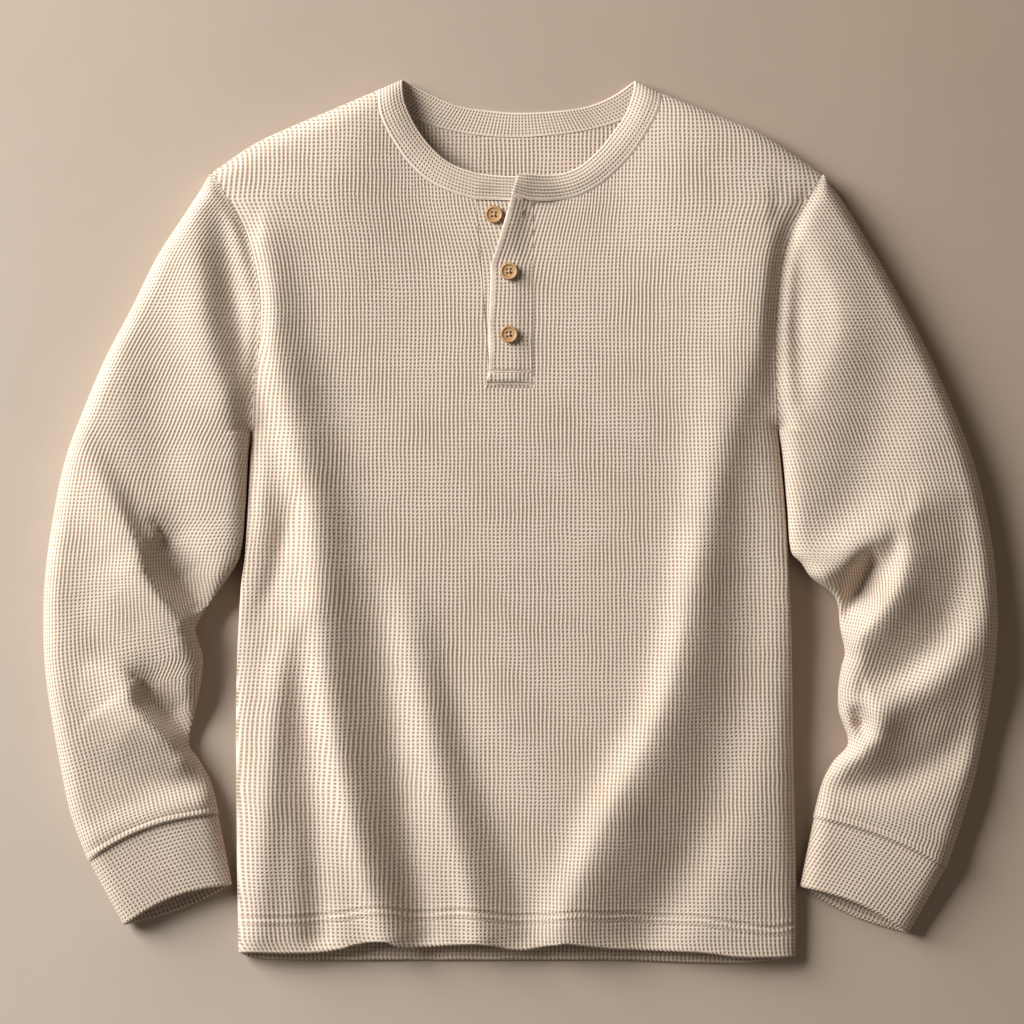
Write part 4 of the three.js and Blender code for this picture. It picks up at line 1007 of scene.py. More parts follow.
def build_cuff(side, hand, sizes, seam_ring, seam_normals, seam_down):
    """A cuff from the sleeve's last ring down to its open mouth."""
    corners = CUFFS[side]
    inner = np.array(corners["inner"], float)
    across = np.array(corners["outer"], float) - inner
    width = np.hypot(*across)
    down = down_from(across)

    def mouth_part(shares, under):
        bow = corners["under" if under else "top"] * np.sin(np.pi * shares)
        plan = inner + shares[:, None] * across + down[:2] * bow[:, None]
        if under:
            rise = under_rise(shares * width) * under_rise((1 - shares) * width)
            return np.column_stack([plan, EDGE_HEIGHT * (1 - rise)])
        rise = top_rise(shares * width) * top_rise((1 - shares) * width)
        return np.column_stack([plan, EDGE_HEIGHT + rise * (CUFF_MOUTH_HEIGHT - EDGE_HEIGHT)])

    mouth = np.concatenate([mouth_part(TOP_SHARES, False), mouth_part(UNDER_SHARES, True)])
    first = seam_ring + seam_down * CUFF_SEAM_GAPS * SEAM_GAP - seam_normals * CUFF_STEP
    rings = lerp(first[None], mouth[None], CUFF_STEPS[:, None, None])
    normals = grid_normals(rings, -hand, 0)
    normals[0] = seam_normals
    normals[-1] = cut_normals(normals[-1], down)
    length = np.linalg.norm(mouth - first, axis=1).mean()
    along = np.broadcast_to(-CUFF_STEPS[:, None] * length, rings.shape[:2])
    cloth = np.dstack([ring_reach(rings), along])
    thick = lerp(1, CUFF_RIM, smoothstep(CUFF_RIM_FROM, 1, CUFF_STEPS))[:, None, None]
    inner_rings = rings - normals * thick * sizes.wall / MM
    return make_shell(f"{side}_cuff", rings, inner_rings, cloth, closed_from=0, soft_edges=("end",))


# Neckband: shares across it, and its sections along a front side, to its left end and round the back
BAND_ACROSS = np.linspace(0, 1, 29)
BAND_SIDE_SECTIONS = 57
BAND_END_SECTIONS = 16
BAND_BACK_SECTIONS = 97
# Share of the free edge that belongs to the neckline beside the placket, left and right
BAND_TURNS_LEFT = 0.74
BAND_TURNS_RIGHT = 0.97
# Where, by x, the left end flattens under the right one, and where the right one comes down to the chest
BAND_FLATTENS = (-36, -16)
BAND_COMES_DOWN = (12, 40)
BAND_LAP = 2.0
# Rolled ridge above the band's seam: height, place and width as shares of the band's width
BAND_RIDGE = (0.4, 0.09, 0.05)
# Along the front the band shows rows of pits, from the ridge up to the rolled edge
BAND_ROWS = 7
BAND_ROWS_FROM = 0.08
BAND_RIB = 2.7
# The kinds of section: on the front, on the fold at a shoulder, and on the back
ON_FRONT, ON_FOLD, ON_BACK = range(3)


def band_sections():
    """The neckband's left front, back and right front, each with what its sections are made from.

    A part is its seam, its free edge, the way across, the height it lies at, its lift over that, its
    bulge, and the order and choice of its sections.
    """
    shares = between(NECKLINE_SHARES, BAND_SIDE_SECTIONS)
    end = np.linspace(0, 1, BAND_END_SECTIONS)
    seam = joined(
        curve(NECKLINE_LEFT, shares),
        curve([NECKLINE_LEFT[-1], NECKLINE_SLIT[1], BAND_END_LEFT], end),
    )
    round_end = np.linspace(BAND_TURNS_LEFT, 1, BAND_END_SECTIONS)
    edge = curve(BAND_EDGE_LEFT, joined(shares * BAND_TURNS_LEFT, round_end))
    bulge = BAND_BULGE * (1 - smoothstep(*BAND_FLATTENS, seam[:, 0]))
    left = (seam, edge, -across_path(seam), body_top, 0 * bulge, bulge, slice(None, 0, -1))

    around = np.linspace(0, 1, BAND_BACK_SECTIONS)
    seam = curve(NECKLINE_BACK, around)
    none = np.zeros(BAND_BACK_SECTIONS)
    edge = curve(BAND_EDGE_BACK, around)
    back = (seam, edge, -across_path(seam), body_under, none, none, slice(1, -1))

    seam = joined(
        curve(NECKLINE_RIGHT, shares)[:-1],
        np.array([curve(NECKLINE_RIGHT, [shares[-2]])[0], *BAND_END_RIGHT]),
    )
    edge = curve(BAND_EDGE_RIGHT, joined(shares * BAND_TURNS_RIGHT, [BAND_TURNS_RIGHT, 1]))
    lift = (BAND_LAP + 2 * SEAM_GAP) * (1 - smoothstep(*BAND_COMES_DOWN, seam[:, 0]))
    bulge = np.full(len(seam), BAND_BULGE)
    right = (seam, edge, across_path(seam), body_top, lift, bulge, slice(1, None))
    return left, back, right


def fold_section(neckline, free_edge):
    """The neckband's section on the fold at a shoulder, and the level way in along it."""
    start = np.array(neckline[0])
    end = np.array(free_edge[0])
    inward = unit(end - start)
    line = lerp((start + inward * SEAM_GAP)[None], end[None], BAND_ACROSS[:, None])
    return np.column_stack([line, np.full(len(BAND_ACROSS), EDGE_HEIGHT)]), np.append(inward, 0)


def build_neckband(sizes):
    """Neckband in one strip, from its left front end round the back to its right front end."""
    folds = (None, (NECKLINE_LEFT, BAND_EDGE_LEFT), (NECKLINE_RIGHT, BAND_EDGE_RIGHT))
    part_kinds = (ON_FRONT, ON_BACK, ON_FRONT)
    ridge, ridge_place, ridge_width = BAND_RIDGE
    grids = []
    outs = []
    kinds = []
    for fold, part_kind, part in zip(folds, part_kinds, band_sections()):
        seam, edge, across, height, lift, bulge, order = part
        seam_point = seam + across[:, :2] * SEAM_GAP
        seam_z = height(seam[:, 0], seam[:, 1]) + lift
        edge_z = height(edge[:, 0], edge[:, 1]) + lift
        plan = lerp(seam_point[:, None], edge[:, None], BAND_ACROSS[None, :, None])
        z = lerp(seam_z[:, None], edge_z[:, None], BAND_ACROSS[None])
        z = z + bulge[:, None] * np.sin(np.pi * BAND_ACROSS)[None]
        z = z + ridge * (bulge[:, None] > 0) * bell(BAND_ACROSS[None] - ridge_place, ridge_width)
        if lift.any():
            z = z + over_curl(plan[..., 0], plan[..., 1])
        if fold:
            line, inward = fold_section(*fold)
            grids.append(line[None])
            outs.append(inward[None])
            kinds.append([ON_FOLD])
        grid = np.dstack([plan, z])[order]
        grids.append(grid)
        outs.append(across[order])
        kinds.append([part_kind] * len(grid))
    outer = np.concatenate(grids)
    out = np.concatenate(outs)
    kind = np.concatenate(kinds)
    normals = grid_normals(outer, 1)
    level = np.stack([-out[:, 1], out[:, 0], 0 * out[:, 0]], 1)
    level *= np.sign(level[:, 1:2])
    normals[:, 0] = cut_normals(normals[:, 0], out)
    normals[kind == ON_FOLD] = level[kind == ON_FOLD][:, None]
    normals[kind == ON_BACK] = (0, 0, -1)
    inner = outer - normals * sizes.band_wall / MM
    middle = outer[:, len(BAND_ACROSS) // 2]
    along = np.broadcast_to(walked(middle)[:, None], outer.shape[:2])
    rows = BAND_ROWS * BAND_RIB * np.maximum(BAND_ACROSS - BAND_ROWS_FROM, 0) / (1 - BAND_ROWS_FROM)
    turned = np.broadcast_to(np.where(kind == ON_BACK, 0.0, 1.0)[:, None], along.shape)
    cloth = np.dstack([along, np.broadcast_to(rows, along.shape), turned])
    return make_shell("neck_band", outer, inner, cloth, soft_edges=("right", "start", "end"))


def build_strip(name, left, right, shares, lift, wall, cloth, soft_edges):
    """Strip of cloth that follows the front's outer face between two edges."""
    plan = lerp(left[:, None], right[:, None], shares[None, :, None])
    x, y = plan[..., 0], plan[..., 1]
    thick = wall(x, y)
    under = body_top(x, y) + lift(x, y)
    outer = np.dstack([plan, under + thick])
    inner = np.dstack([plan, under])
    return make_shell(name, outer, inner, cloth(x, y), soft_edges=soft_edges)


# Rows down each half of the placket and columns across it
UNDER_GRID = (60, 17)
OVER_GRID = (270, 41)


def build_underlap(sizes):
    """Button side of the placket, set into the slit level with the front."""
    rows, shares = (np.linspace(0, 1, count) for count in UNDER_GRID)
    gap = EDGE_CLEARANCE
    (left_top, left_foot), (right_top, right_foot) = SLIT_LEFT, UNDER_RIGHT
    left = [(left_top[0] + gap, left_top[1] - gap), (left_foot[0] + gap, left_foot[1] + gap)]
    right = [(right_top[0], right_top[1] - gap), (right_foot[0], right_foot[1] + gap)]
    left = curve(left, rows)
    right = curve(right, rows)
    wall = sizes.wall / MM

    def lift(x, y):
        return np.full(x.shape, -wall)

    def thick(x, y):
        return np.full(x.shape, wall)

    def cloth(x, y):
        return np.dstack([x + softened(lean_left, y), y])

    return build_strip("placket_underlap", left, right, shares, lift, thick, cloth, ())


# The overlap's wall thins out to its sewn edges: where it starts to, and what is left of it
OVER_THINS = (-6.0, 10.4)
FOOT_THINS = (106.4, 113.0)
OVER_THIN = 0.15
OVER_SUNK = 0.05
# Sewn lines of the overlap: x of the upright one and how high it reaches, and y of the two at the foot
OVER_ROW = 8.8
OVER_ROW_TOP = 207.0
FOOT_ROWS = (118.6, 108.4)
# Dented lines beside the sewn rows at the foot, painted dark as shade in their dents, and the padded box
# between them
FOOT_LINES = (120.0, 110.4)
FOOT_LINE_WIDTH = 0.5
FOOT_DENT = 0.5
FOOT_PUFF = 0.4
FOOT_PUFF_WIDTH = 3.5
# Dents along the sewn lines where the overlap is thin, their width, and how softly the upright one ends
SEWN_DENT = 0.12
SEWN_WIDTH = 0.9
SEWN_END = 6
# Rounded fold along the free edge: height and width
OVER_FOLD = 0.2
OVER_FOLD_WIDTH = 1.7
# Shares along the overlap at which its edges' corners lie
OVER_STEPS = np.array([0, 0.19, 0.28, 0.56, 0.9, 1])


def sewn_flat(x, y):
    """Share by which the overlap is sewn down flat, along its right edge and its foot."""
    return np.maximum(smoothstep(*OVER_THINS, x), 1 - smoothstep(*FOOT_THINS, y))


def over_lift(x, y):
    """Gap between the overlap and the front's outer face."""
    return lerp(SEAM_GAP, OVER_SUNK, sewn_flat(x, y)) + over_curl(x, y)


def over_wall(x, y, sizes):
    """Wall of the overlap with its relief."""
    return lerp(sizes.placket_wall / MM, OVER_THIN, sewn_flat(x, y)) + over_relief(x, y)


def over_relief(x, y):
    """Rounded fold along the overlap's free edge, and dents along its sewn lines."""
    fold = OVER_FOLD * bell(x - over_left(y) - FOLDED_EDGE / 2, OVER_FOLD_WIDTH)
    ending = 1 - smoothstep(OVER_ROW_TOP - SEWN_END, OVER_ROW_TOP + SEWN_END, y)
    upright = bell(x - OVER_ROW, SEWN_WIDTH) * ending
    level = bell(y - FOOT_LINES[0], SEWN_WIDTH) + bell(y - FOOT_LINES[1], SEWN_WIDTH)
    sunk = np.maximum(upright, level) * lerp(FOOT_DENT, SEWN_DENT, sewn_flat(x, y))
    middle = sum(FOOT_LINES) / 2
    puff = FOOT_PUFF * bell(y - middle, FOOT_PUFF_WIDTH) * (1 - sewn_flat(x, y))
    return fold + puff - sunk


def over_face(x, y, sizes):
    """Height of the overlap's outer face."""
    return body_top(x, y) + over_lift(x, y) + over_wall(x, y, sizes)


def build_overlap(sizes):
    """Buttonhole side of the placket, with its folded free edge and its stitched foot."""
    even_rows, shares = (np.linspace(0, 1, count) for count in OVER_GRID)
    rows = np.unique(np.concatenate([even_rows, OVER_STEPS]))
    left, right = (
        np.column_stack([np.interp(rows, OVER_STEPS, values) for values in np.array(edge).T])
        for edge in (OVER_LEFT, OVER_RIGHT)
    )

    def thick(x, y):
        return over_wall(x, y, sizes)

    def cloth(x, y):
        from_edge = x - lean_right(y) - OVER_LEFT[3][0] - FOLDED_EDGE
        folded = np.maximum(from_edge, FOLDED_SHADE)
        place = np.where(y > FOOT_LINES[0], folded, from_edge)
        # Painted shade: each foot line takes the place of a pit, the darkest of the knit, and a strip just
        # below it shows plain rib without pits
        for line in FOOT_LINES:
            below = np.abs(y - line + 2 * FOOT_LINE_WIDTH) < FOOT_LINE_WIDTH
            place = np.where(below, 0.0, place)
            place = np.where(np.abs(y - line) < FOOT_LINE_WIDTH, sizes.rib / 2, place)
        return np.dstack([place, y])

    return build_strip("placket_overlap", left, right, shares, over_lift, thick, cloth, ("left", "end"))


class Value:
    """A socket that takes part in Python expressions, each of which adds its Math node."""

    def __init__(self, shader, socket):
        self.shader = shader
        self.socket = socket

    def _math(self, operation, *values):
        return self.shader.node("ShaderNodeMath", {"operation": operation}, dict(enumerate(values)))

    def __add__(self, other):
        return self._math("ADD", self, other)

    def __radd__(self, other):
        return self._math("ADD", other, self)

    def __sub__(self, other):
        return self._math("SUBTRACT", self, other)

    def __rsub__(self, other):
        return self._math("SUBTRACT", other, self)

    def __mul__(self, other):
        return self._math("MULTIPLY", self, other)

    def __rmul__(self, other):
        return self._math("MULTIPLY", other, self)

    def __truediv__(self, other):
        return self._math("DIVIDE", self, other)

    def __pow__(self, other):
        return self._math("POWER", self, other)

    def cosine(self):
        """Cosine of the value."""
        return self._math("COSINE", self)

    def share(self):
        """The value held between 0 and 1."""
        return self._math("MINIMUM", self._math("MAXIMUM", self, 0.0), 1.0)


class Shader:
    """A material under construction."""

    def __init__(self, name):
        self.material = bpy.data.materials.new(name)
        self.material.use_nodes = True
        self.tree = self.material.node_tree
        self.surface = self.tree.nodes["Principled BSDF"]

    def node(self, kind, settings=None, inputs=None, output=0):
        """Adds a node: its settings first, then the values or links of its sockets."""
        made = self.tree.nodes.new(kind)
        for key, value in (settings or {}).items():
            if key == "stops":
                self.set_stops(made.color_ramp, value)
            else:
                setattr(made, key, value)
        for key, value in (inputs or {}).items():
            self.feed(made.inputs[key], value)
        return Value(self, made.outputs[output])

    def set_stops(self, ramp, stops):
        """Gives a ramp its places and colours."""
        while len(ramp.elements) < len(stops):
            ramp.elements.new(0.5)
        for element, (place, colour) in zip(ramp.elements, stops):
            element.position = place
            element.color = (*colour, 1)

    def feed(self, socket, value):
        """Links a value to a socket, or sets the socket to a plain number or colour."""
        if isinstance(value, Value):
            self.tree.links.new(value.socket, socket)
        elif hasattr(value, "__len__") and socket.type == "RGBA" and len(value) == 3:
            socket.default_value = (*value, 1)
        else:
            socket.default_value = value

    def mixed(self, factor, a, b, blend="MIX"):
        """Colour between a and b."""
        settings = {"data_type": "RGBA", "blend_type": blend}
        return self.node("ShaderNodeMix", settings, {0: factor, 6: a, 7: b}, output=2)

    def noise(self, place, scale, detail=2.0, roughness=0.5):
        """Soft noise round 0.5."""
        inputs = {"Vector": place, "Scale": scale, "Detail": detail, "Roughness": roughness}
        return self.node("ShaderNodeTexNoise", {"noise_dimensions": "3D"}, inputs)

    def axes(self, place):
        """The three parts of a vector."""
        parts = self.node("ShaderNodeSeparateXYZ", {}, {0: place}).socket.node
        return (Value(self, part) for part in parts.outputs)

    def bump(self, strength, distance, height):
        """Normal of a surface with a fine relief."""
        inputs = {"Strength": strength, "Distance": distance, "Height": height}
        return self.node("ShaderNodeBump", {}, inputs)

    def finish(self, **sockets):
        """Feeds the shader's sockets by name and gives the material."""
        for name, value in sockets.items():
            self.feed(self.surface.inputs[name.replace("_", " ")], value)
        return self.material


# Shapes of a rib's side and of a bar between two pits: above 1 they are narrower, below 1 broader
RIB_SIDE = 0.95
BAR_SIDE = 0.9
# How much each bar draws in the ribs beside it, and how much the bars change from place to place
RIB_NOTCH = 0.09
BAR_CHANGE = 2.2
# Shade from a pit to a rib's crest: its course, its span, its start, and how much the yarn changes it
SHADE_COURSE = 1.1
SHADE_SPAN = 0.86
SHADE_START = 0.075
SHADE_YARN = 0.7
# Flecks of the heathered yarn: how strong, how uneven, and their dark and light colour
FLECKS = 0.16
FLECK_SPREAD = 0.5
FLECK_DARK = (0.30, 0.21, 0.14)
FLECK_LIGHT = (0.95, 0.86, 0.76)
# Relief of the yarn and of its fuzz beside that of the ribs
YARN_RELIEF = 0.35
FUZZ_RELIEF = 0.2
# Noises in the knit, each as scale, detail and roughness: yarn and heather for each millimetre of cloth,
# fuzz for each metre
YARN_NOISE = (0.9, 3.0, 0.7)
HEATHER_NOISE = (0.35, 3.0, 0.6)
FUZZ_NOISE = (2600, 2.0, 0.6)
# Scales of the noises by which the ribs wander, the rows wander, and the bars change
RIB_DRIFT = 0.03
ROW_DRIFT = 0.041
BAR_DRIFT = 0.02


def wave(place, spacing):
    """Soft ups and downs between 0 and 1, one for each spacing."""
    return (place * (2 * math.pi / spacing)).cosine() * 0.5 + 0.5


def knit_material(name, rib, course, depth, colours, bar, wander):
    """Waffle knit: upright ribs, and rows of small pits between them, divided by bars. The pits are
    painted darker as painted shade, besides their bump.
    """
    shader = Shader(name)
    cloth = shader.node("ShaderNodeAttribute", {"attribute_name": "cloth"}, output="Vector")
    first, second, turn = shader.axes(cloth)
    across_ribs = first + (second - first) * turn
    along_ribs = second + (first - second) * turn
    drift = shader.noise(cloth, RIB_DRIFT) - 0.5
    drift_along = shader.noise(cloth, ROW_DRIFT) - 0.5
    ridge = wave(across_ribs + drift * wander, rib)
    rung = wave(along_ribs + drift_along * wander, course)
    firm = (shader.noise(cloth, BAR_DRIFT) - 0.5) * BAR_CHANGE + 1
    pit = (1 - ridge) ** RIB_SIDE * (1 - firm * bar * rung**BAR_SIDE)
    relief = 1 - pit - ridge * rung * RIB_NOTCH
    object_place = shader.node("ShaderNodeTexCoord", output="Object")
    yarn = shader.noise(cloth, *YARN_NOISE) - 0.5
    fuzz = shader.noise(object_place, *FUZZ_NOISE) - 0.5
    heather = shader.noise(cloth, *HEATHER_NOISE) - 0.5
    shade = (relief**SHADE_COURSE * SHADE_SPAN + SHADE_START + yarn * SHADE_YARN).share()
    # Painted shade: the pits' darkness is painted into the base colour, from the pit colour up to the
    # crest colour
    tone = shader.mixed(shade, colours.knit_pit_shade, colours.knit_crest)
    fleck = (heather * FLECK_SPREAD + 0.5).share()
    tone = shader.mixed(FLECKS, tone, shader.mixed(fleck, FLECK_DARK, FLECK_LIGHT), "SOFT_LIGHT")
    return shader.finish(
        Base_Color=tone,
        Normal=shader.bump(1.0, depth, relief + yarn * YARN_RELIEF + fuzz * FUZZ_RELIEF),
        Roughness=0.95,
        Specular_IOR_Level=0.15,
        Sheen_Weight=0.12,
        Sheen_Roughness=0.6,
    )


# Depth in metres of a thread's twist and of the wood's grain
FINE_RELIEF = 0.0002
# Scale, detail and roughness of the twist, and how dark a thread is between its turns
TWIST_NOISE = (3000, 2.0, 0.6)
THREAD_DARK = 0.8
# Painted shade inside an opening, as a share of the pits' colour
OPENING_SHADE = 0.3


def thread_material(colours):
    """Matt sewing thread with a fine twist."""
    shader = Shader("henley_thread")
    place = shader.node("ShaderNodeTexCoord", output="Object")
    twist = shader.noise(place, *TWIST_NOISE)
    tone = shader.mixed(twist, [THREAD_DARK * channel for channel in colours.thread], colours.thread)
    return shader.finish(Base_Color=tone, Normal=shader.bump(0.6, FINE_RELIEF, twist), Roughness=0.85)


def opening_shade_material(colours):
    """Painted shade deep inside an opening, darker than the pits."""
    shader = Shader("henley_opening_shade")
    dark = [OPENING_SHADE * channel for channel in colours.knit_pit_shade]
    return shader.finish(Base_Color=dark, Roughness=1.0)


# Painted shade on the turned wood from a button's middle to its edge: a little darker over the dished
# face, darker in the dished ring, and darkest low on the wall as painted shadow where the button meets the
# cloth
WOOD_SHADE_RINGS = [
    (0.0, (0.92, 0.90, 0.88)),
    (0.55, (1.0, 1.0, 1.0)),
    (0.70, (0.62, 0.56, 0.50)),
    (0.80, (1.0, 1.0, 1.0)),
    (0.93, (1.0, 1.0, 1.0)),
    (0.985, (0.30, 0.22, 0.16)),
]
# How close the grain lies along itself and across, and its noise and that of the speckle
GRAIN = (260, 2100)
GRAIN_NOISE = (1.0, 4.0, 0.6)
SPECKLE_NOISE = (2200, 2.0, 0.7)
# How much grain and speckle count, and between which of their values the wood turns from dark to light
GRAIN_SHARE = 0.7
SPECKLE_SHARE = 0.3
WOOD_DARK_AT = 0.36
WOOD_LIGHT_AT = 0.64
# Roughness of the wood where it is dark, and how much more it has where it is light
WOOD_ROUGH = 0.42
WOOD_ROUGHER = 0.2


def wood_material(colours):
    """Turned wood with fine grain across the face and a soft satin finish, and painted shade in its dished
    face and ring, low on its wall and in its holes.
    """
    shader = Shader("turned_wood")
    place = shader.node("ShaderNodeTexCoord", output="Object")
    x, y, _ = shader.axes(place)
    along, across = GRAIN
    stretched = shader.node("ShaderNodeCombineXYZ", {}, {0: x * along, 1: y * across, 2: 0.0})
    grain = shader.noise(stretched, *GRAIN_NOISE)
    speckle = shader.noise(place, *SPECKLE_NOISE)
    shade = (grain * GRAIN_SHARE + speckle * SPECKLE_SHARE).share()
    grained = [(WOOD_DARK_AT, colours.wood_dark), (WOOD_LIGHT_AT, colours.wood_light)]
    tone = shader.node("ShaderNodeValToRGB", {"stops": grained}, {0: shade})
    # Painted shade by distance from the middle, which multiplies the wood's colour
    from_middle = shader.node("ShaderNodeAttribute", {"attribute_name": "from_middle"}, output="Fac")
    ring_shade = shader.node("ShaderNodeValToRGB", {"stops": WOOD_SHADE_RINGS}, {0: from_middle})
    return shader.finish(
        Base_Color=shader.mixed(1.0, tone, ring_shade, "MULTIPLY"),
        Roughness=shade * WOOD_ROUGHER + WOOD_ROUGH,
        Normal=shader.bump(0.35, FINE_RELIEF, shade),
    )


# Painted fall-off of light: the surface darkens along this direction, over this length in metres round the
# middle
FLOOR_DARKENS = (0.896, 0.442)
FLOOR_FADE = 0.98
# How dark its mottle is, with the scale and the detail of that
FLOOR_MOTTLE = 0.12
MOTTLE_NOISE = (9, 3.0)


def floor_material(colours):
    """Plain matt surface with a painted fall-off of light, darker and warmer to the upper right, with a
    barely seen mottle.
    """
    shader = Shader("floor_matt")
    place = shader.node("ShaderNodeTexCoord", output="Object")
    x, y, _ = shader.axes(place)
    fade = (x * FLOOR_DARKENS[0] + y * FLOOR_DARKENS[1]) / FLOOR_FADE + 0.5
    # Painted light: the key light's fall-off across the surface, from the lit lower left to the shaded
    # upper right
    plain = shader.mixed(fade.share(), colours.floor, colours.floor_far_shade)
    mottle = shader.noise(place, *MOTTLE_NOISE) * FLOOR_MOTTLE
    tone = shader.mixed(mottle, plain, (0.0, 0.0, 0.0))
    return shader.finish(Base_Color=tone, Roughness=0.9, Specular_IOR_Level=0.2)


def wear(piece, material, node=None):
    """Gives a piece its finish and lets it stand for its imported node, where it has one."""
    piece.data.materials.clear()
    piece.data.materials.append(material)
    if node:
        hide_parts(node)
    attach(piece, "root")
    return piece


# A stitch: its sides, its width at each ring as a share of the thread's, and how high its middle bows
STITCH_SIDES = 6
STITCH_RINGS = (0.12, 0.25, 0.8, 1.0, 0.8, 0.25, 0.12)
STITCH_BOW = 0.5
UP = np.array([0.0, 0.0, 1.0])


def make_stitches(name, starts, ends, width):
    """Short rounded threads between pairs of points, each bowed up a little in its middle."""
    points = []
    faces = []
    for start, end in zip(starts, ends):
        side = unit(np.cross(UP, unit(end - start)))
        base = len(points)
        rings = len(STITCH_RINGS)
        for k, size in enumerate(STITCH_RINGS):
            share = k / (rings - 1)
            centre = lerp(start, end, share) + UP * (math.sin(math.pi * share) * width * STITCH_BOW)
            for n in range(STITCH_SIDES):
                angle = 2 * math.pi * n / STITCH_SIDES
                radius = size * width / 2
                points.append(centre + radius * (math.cos(angle) * side + math.sin(angle) * UP))
        for k in range(rings - 1):
            for n in range(STITCH_SIDES):
                a = base + k * STITCH_SIDES + n
                b = base + k * STITCH_SIDES + (n + 1) % STITCH_SIDES
                faces.append((a, b, b + STITCH_SIDES, a + STITCH_SIDES))
        faces.append(tuple(base + n for n in reversed(range(STITCH_SIDES))))
        last = base + (rings - 1) * STITCH_SIDES
        faces.append(tuple(last + n for n in range(STITCH_SIDES)))
    mesh = bpy.data.meshes.new(name)
    mesh.from_pydata(((np.asarray(points) + FRAME_SHIFT) * MM).tolist(), [], faces)
    mesh.shade_smooth()
    mesh.update()
    return placed(name, mesh)


def row_of_stitches(path, height, length, gap, lift):
    """Start and end points of stitches along a line in plan, laid on the cloth at the given height."""
    far = walked(path)
    count = int((far[-1] + gap) / (length + gap))
    starts = (length + gap) * np.arange(count)
    ends = starts + length

    def on_cloth(at):
        x = np.interp(at, far, path[:, 0])
        y = np.interp(at, far, path[:, 1])
        return np.column_stack([x, y, height(x, y) + lift])

    return on_cloth(starts), on_cloth(ends)


# How high the rows of stitches lie over the cloth, on the hem and on the placket
HEM_STITCH_LIFT = 0.15
PLACKET_STITCH_LIFT = 0.1
# Where the two rows at the placket's foot start at the left
FOOT_ROWS_FROM = (-21.6, -22.6)
# Points along the lines that the hem's rows and the placket's rows follow
HEM_LINE_POINTS = 240
PLACKET_LINE_POINTS = 80


def build_stitching(sizes):
    """Every row of machine stitching on the front: the hem's two rows and the placket's."""

    def on_overlap(x, y):
        return over_face(x, y, sizes)

    hem = curve(HEM_STITCH, np.linspace(0, 1, HEM_LINE_POINTS))
    along = np.linspace(0, 1, PLACKET_LINE_POINTS)[:, None]
    rows = [
        (hem, front_face, HEM_STITCH_LIFT),
        (hem - [0, HEM_ROW_GAP], front_face, HEM_STITCH_LIFT),
    ]
    for start, end in (
        ((OVER_ROW, OVER_ROW_TOP), (OVER_ROW, FOOT_ROWS[1])),
        ((FOOT_ROWS_FROM[0], FOOT_ROWS[0]), (OVER_ROW, FOOT_ROWS[0])),
        ((FOOT_ROWS_FROM[1], FOOT_ROWS[1]), (OVER_ROW, FOOT_ROWS[1])),
    ):
        path = lerp(np.array([start]), np.array([end]), along)
        rows.append((path, on_overlap, PLACKET_STITCH_LIFT))
    length = sizes.stitch_length / MM
    gap = sizes.stitch_gap / MM
    made = [row_of_stitches(path, height, length, gap, lift) for path, height, lift in rows]
    starts, ends = (np.concatenate(points) for points in zip(*made))
    return make_stitches("front_stitching", starts, ends, sizes.thread / MM)


# The empty buttonhole: its middle, half its length, the ways along it and out from it, the width of its
# slit, and the stitches on each side of it
BUTTONHOLE_AT = np.array([2.4, 245.6])
BUTTONHOLE_HALF = 3.4
BUTTONHOLE_ALONG = unit(np.array([0.12, 1.0]))
BUTTONHOLE_OUT = np.array([BUTTONHOLE_ALONG[1], -BUTTONHOLE_ALONG[0]])
BUTTONHOLE_SLIT = 0.9
BUTTONHOLE_STITCHES = 15
BUTTONHOLE_STITCH = 0.9
BUTTONHOLE_THREAD = 0.55
BUTTONHOLE_LIFT = 0.1


def buttonhole_spot(along, out, sizes):
    """Point on the overlap, measured along the buttonhole and out from its slit."""
    x, y = BUTTONHOLE_AT + BUTTONHOLE_ALONG * along + BUTTONHOLE_OUT * out
    return np.array([x, y, float(over_face(x, y, sizes)) + BUTTONHOLE_LIFT])


def build_buttonhole(sizes):
    """Close stitches on both sides of the empty buttonhole near the top of the overlap."""
    near = BUTTONHOLE_SLIT / 2
    far = near + BUTTONHOLE_STITCH
    starts = []
    ends = []
    for hand in (-1, 1):
        for along in np.linspace(-BUTTONHOLE_HALF, BUTTONHOLE_HALF, BUTTONHOLE_STITCHES):
            starts.append(buttonhole_spot(along, hand * near, sizes))
            ends.append(buttonhole_spot(along, hand * far, sizes))
    return make_stitches("buttonhole_stitching", starts, ends, BUTTONHOLE_THREAD)


def build_slit_shade(sizes):
    """Dark slit of the empty buttonhole: a thin piece painted with the shade down in the slit."""
    sunk = UP * BUTTONHOLE_SLIT / 2
    start = buttonhole_spot(-BUTTONHOLE_HALF, 0, sizes) - sunk
    end = buttonhole_spot(BUTTONHOLE_HALF, 0, sizes) - sunk
    return make_stitches("buttonhole_slit_shade", [start], [end], BUTTONHOLE_SLIT)


# Turned outline of a button from its underside over the rim into the dished face, as radius and height
BUTTON_RADIUS = 7.0
BUTTON_PROFILE = [
    (5.9, 0.0), (6.5, 0.2), (6.9, 0.75), (7.0, 1.35), (6.85, 2.1), (6.45, 2.5), (5.95, 2.6), (5.5, 2.5),
    (5.1, 2.2), (4.75, 1.95), (4.3, 1.88), (3.7, 1.86),
]
BUTTON_SIDES = 64
# The four holes: their distance from the middle, radius and depth
HOLES = 4
HOLE_RING = 2.15
HOLE_RADIUS = 0.95
HOLE_DEPTH = 1.5
HOLE_SIDES = 16
# How far each button is turned, and its crossed thread: thickness, reach from the middle and sinking
BUTTON_SPINS = (0.0, 0.06, 0.14)
BUTTON_THREAD = 0.95
THREAD_REACH = 1.75
THREAD_SUNK = 0.15


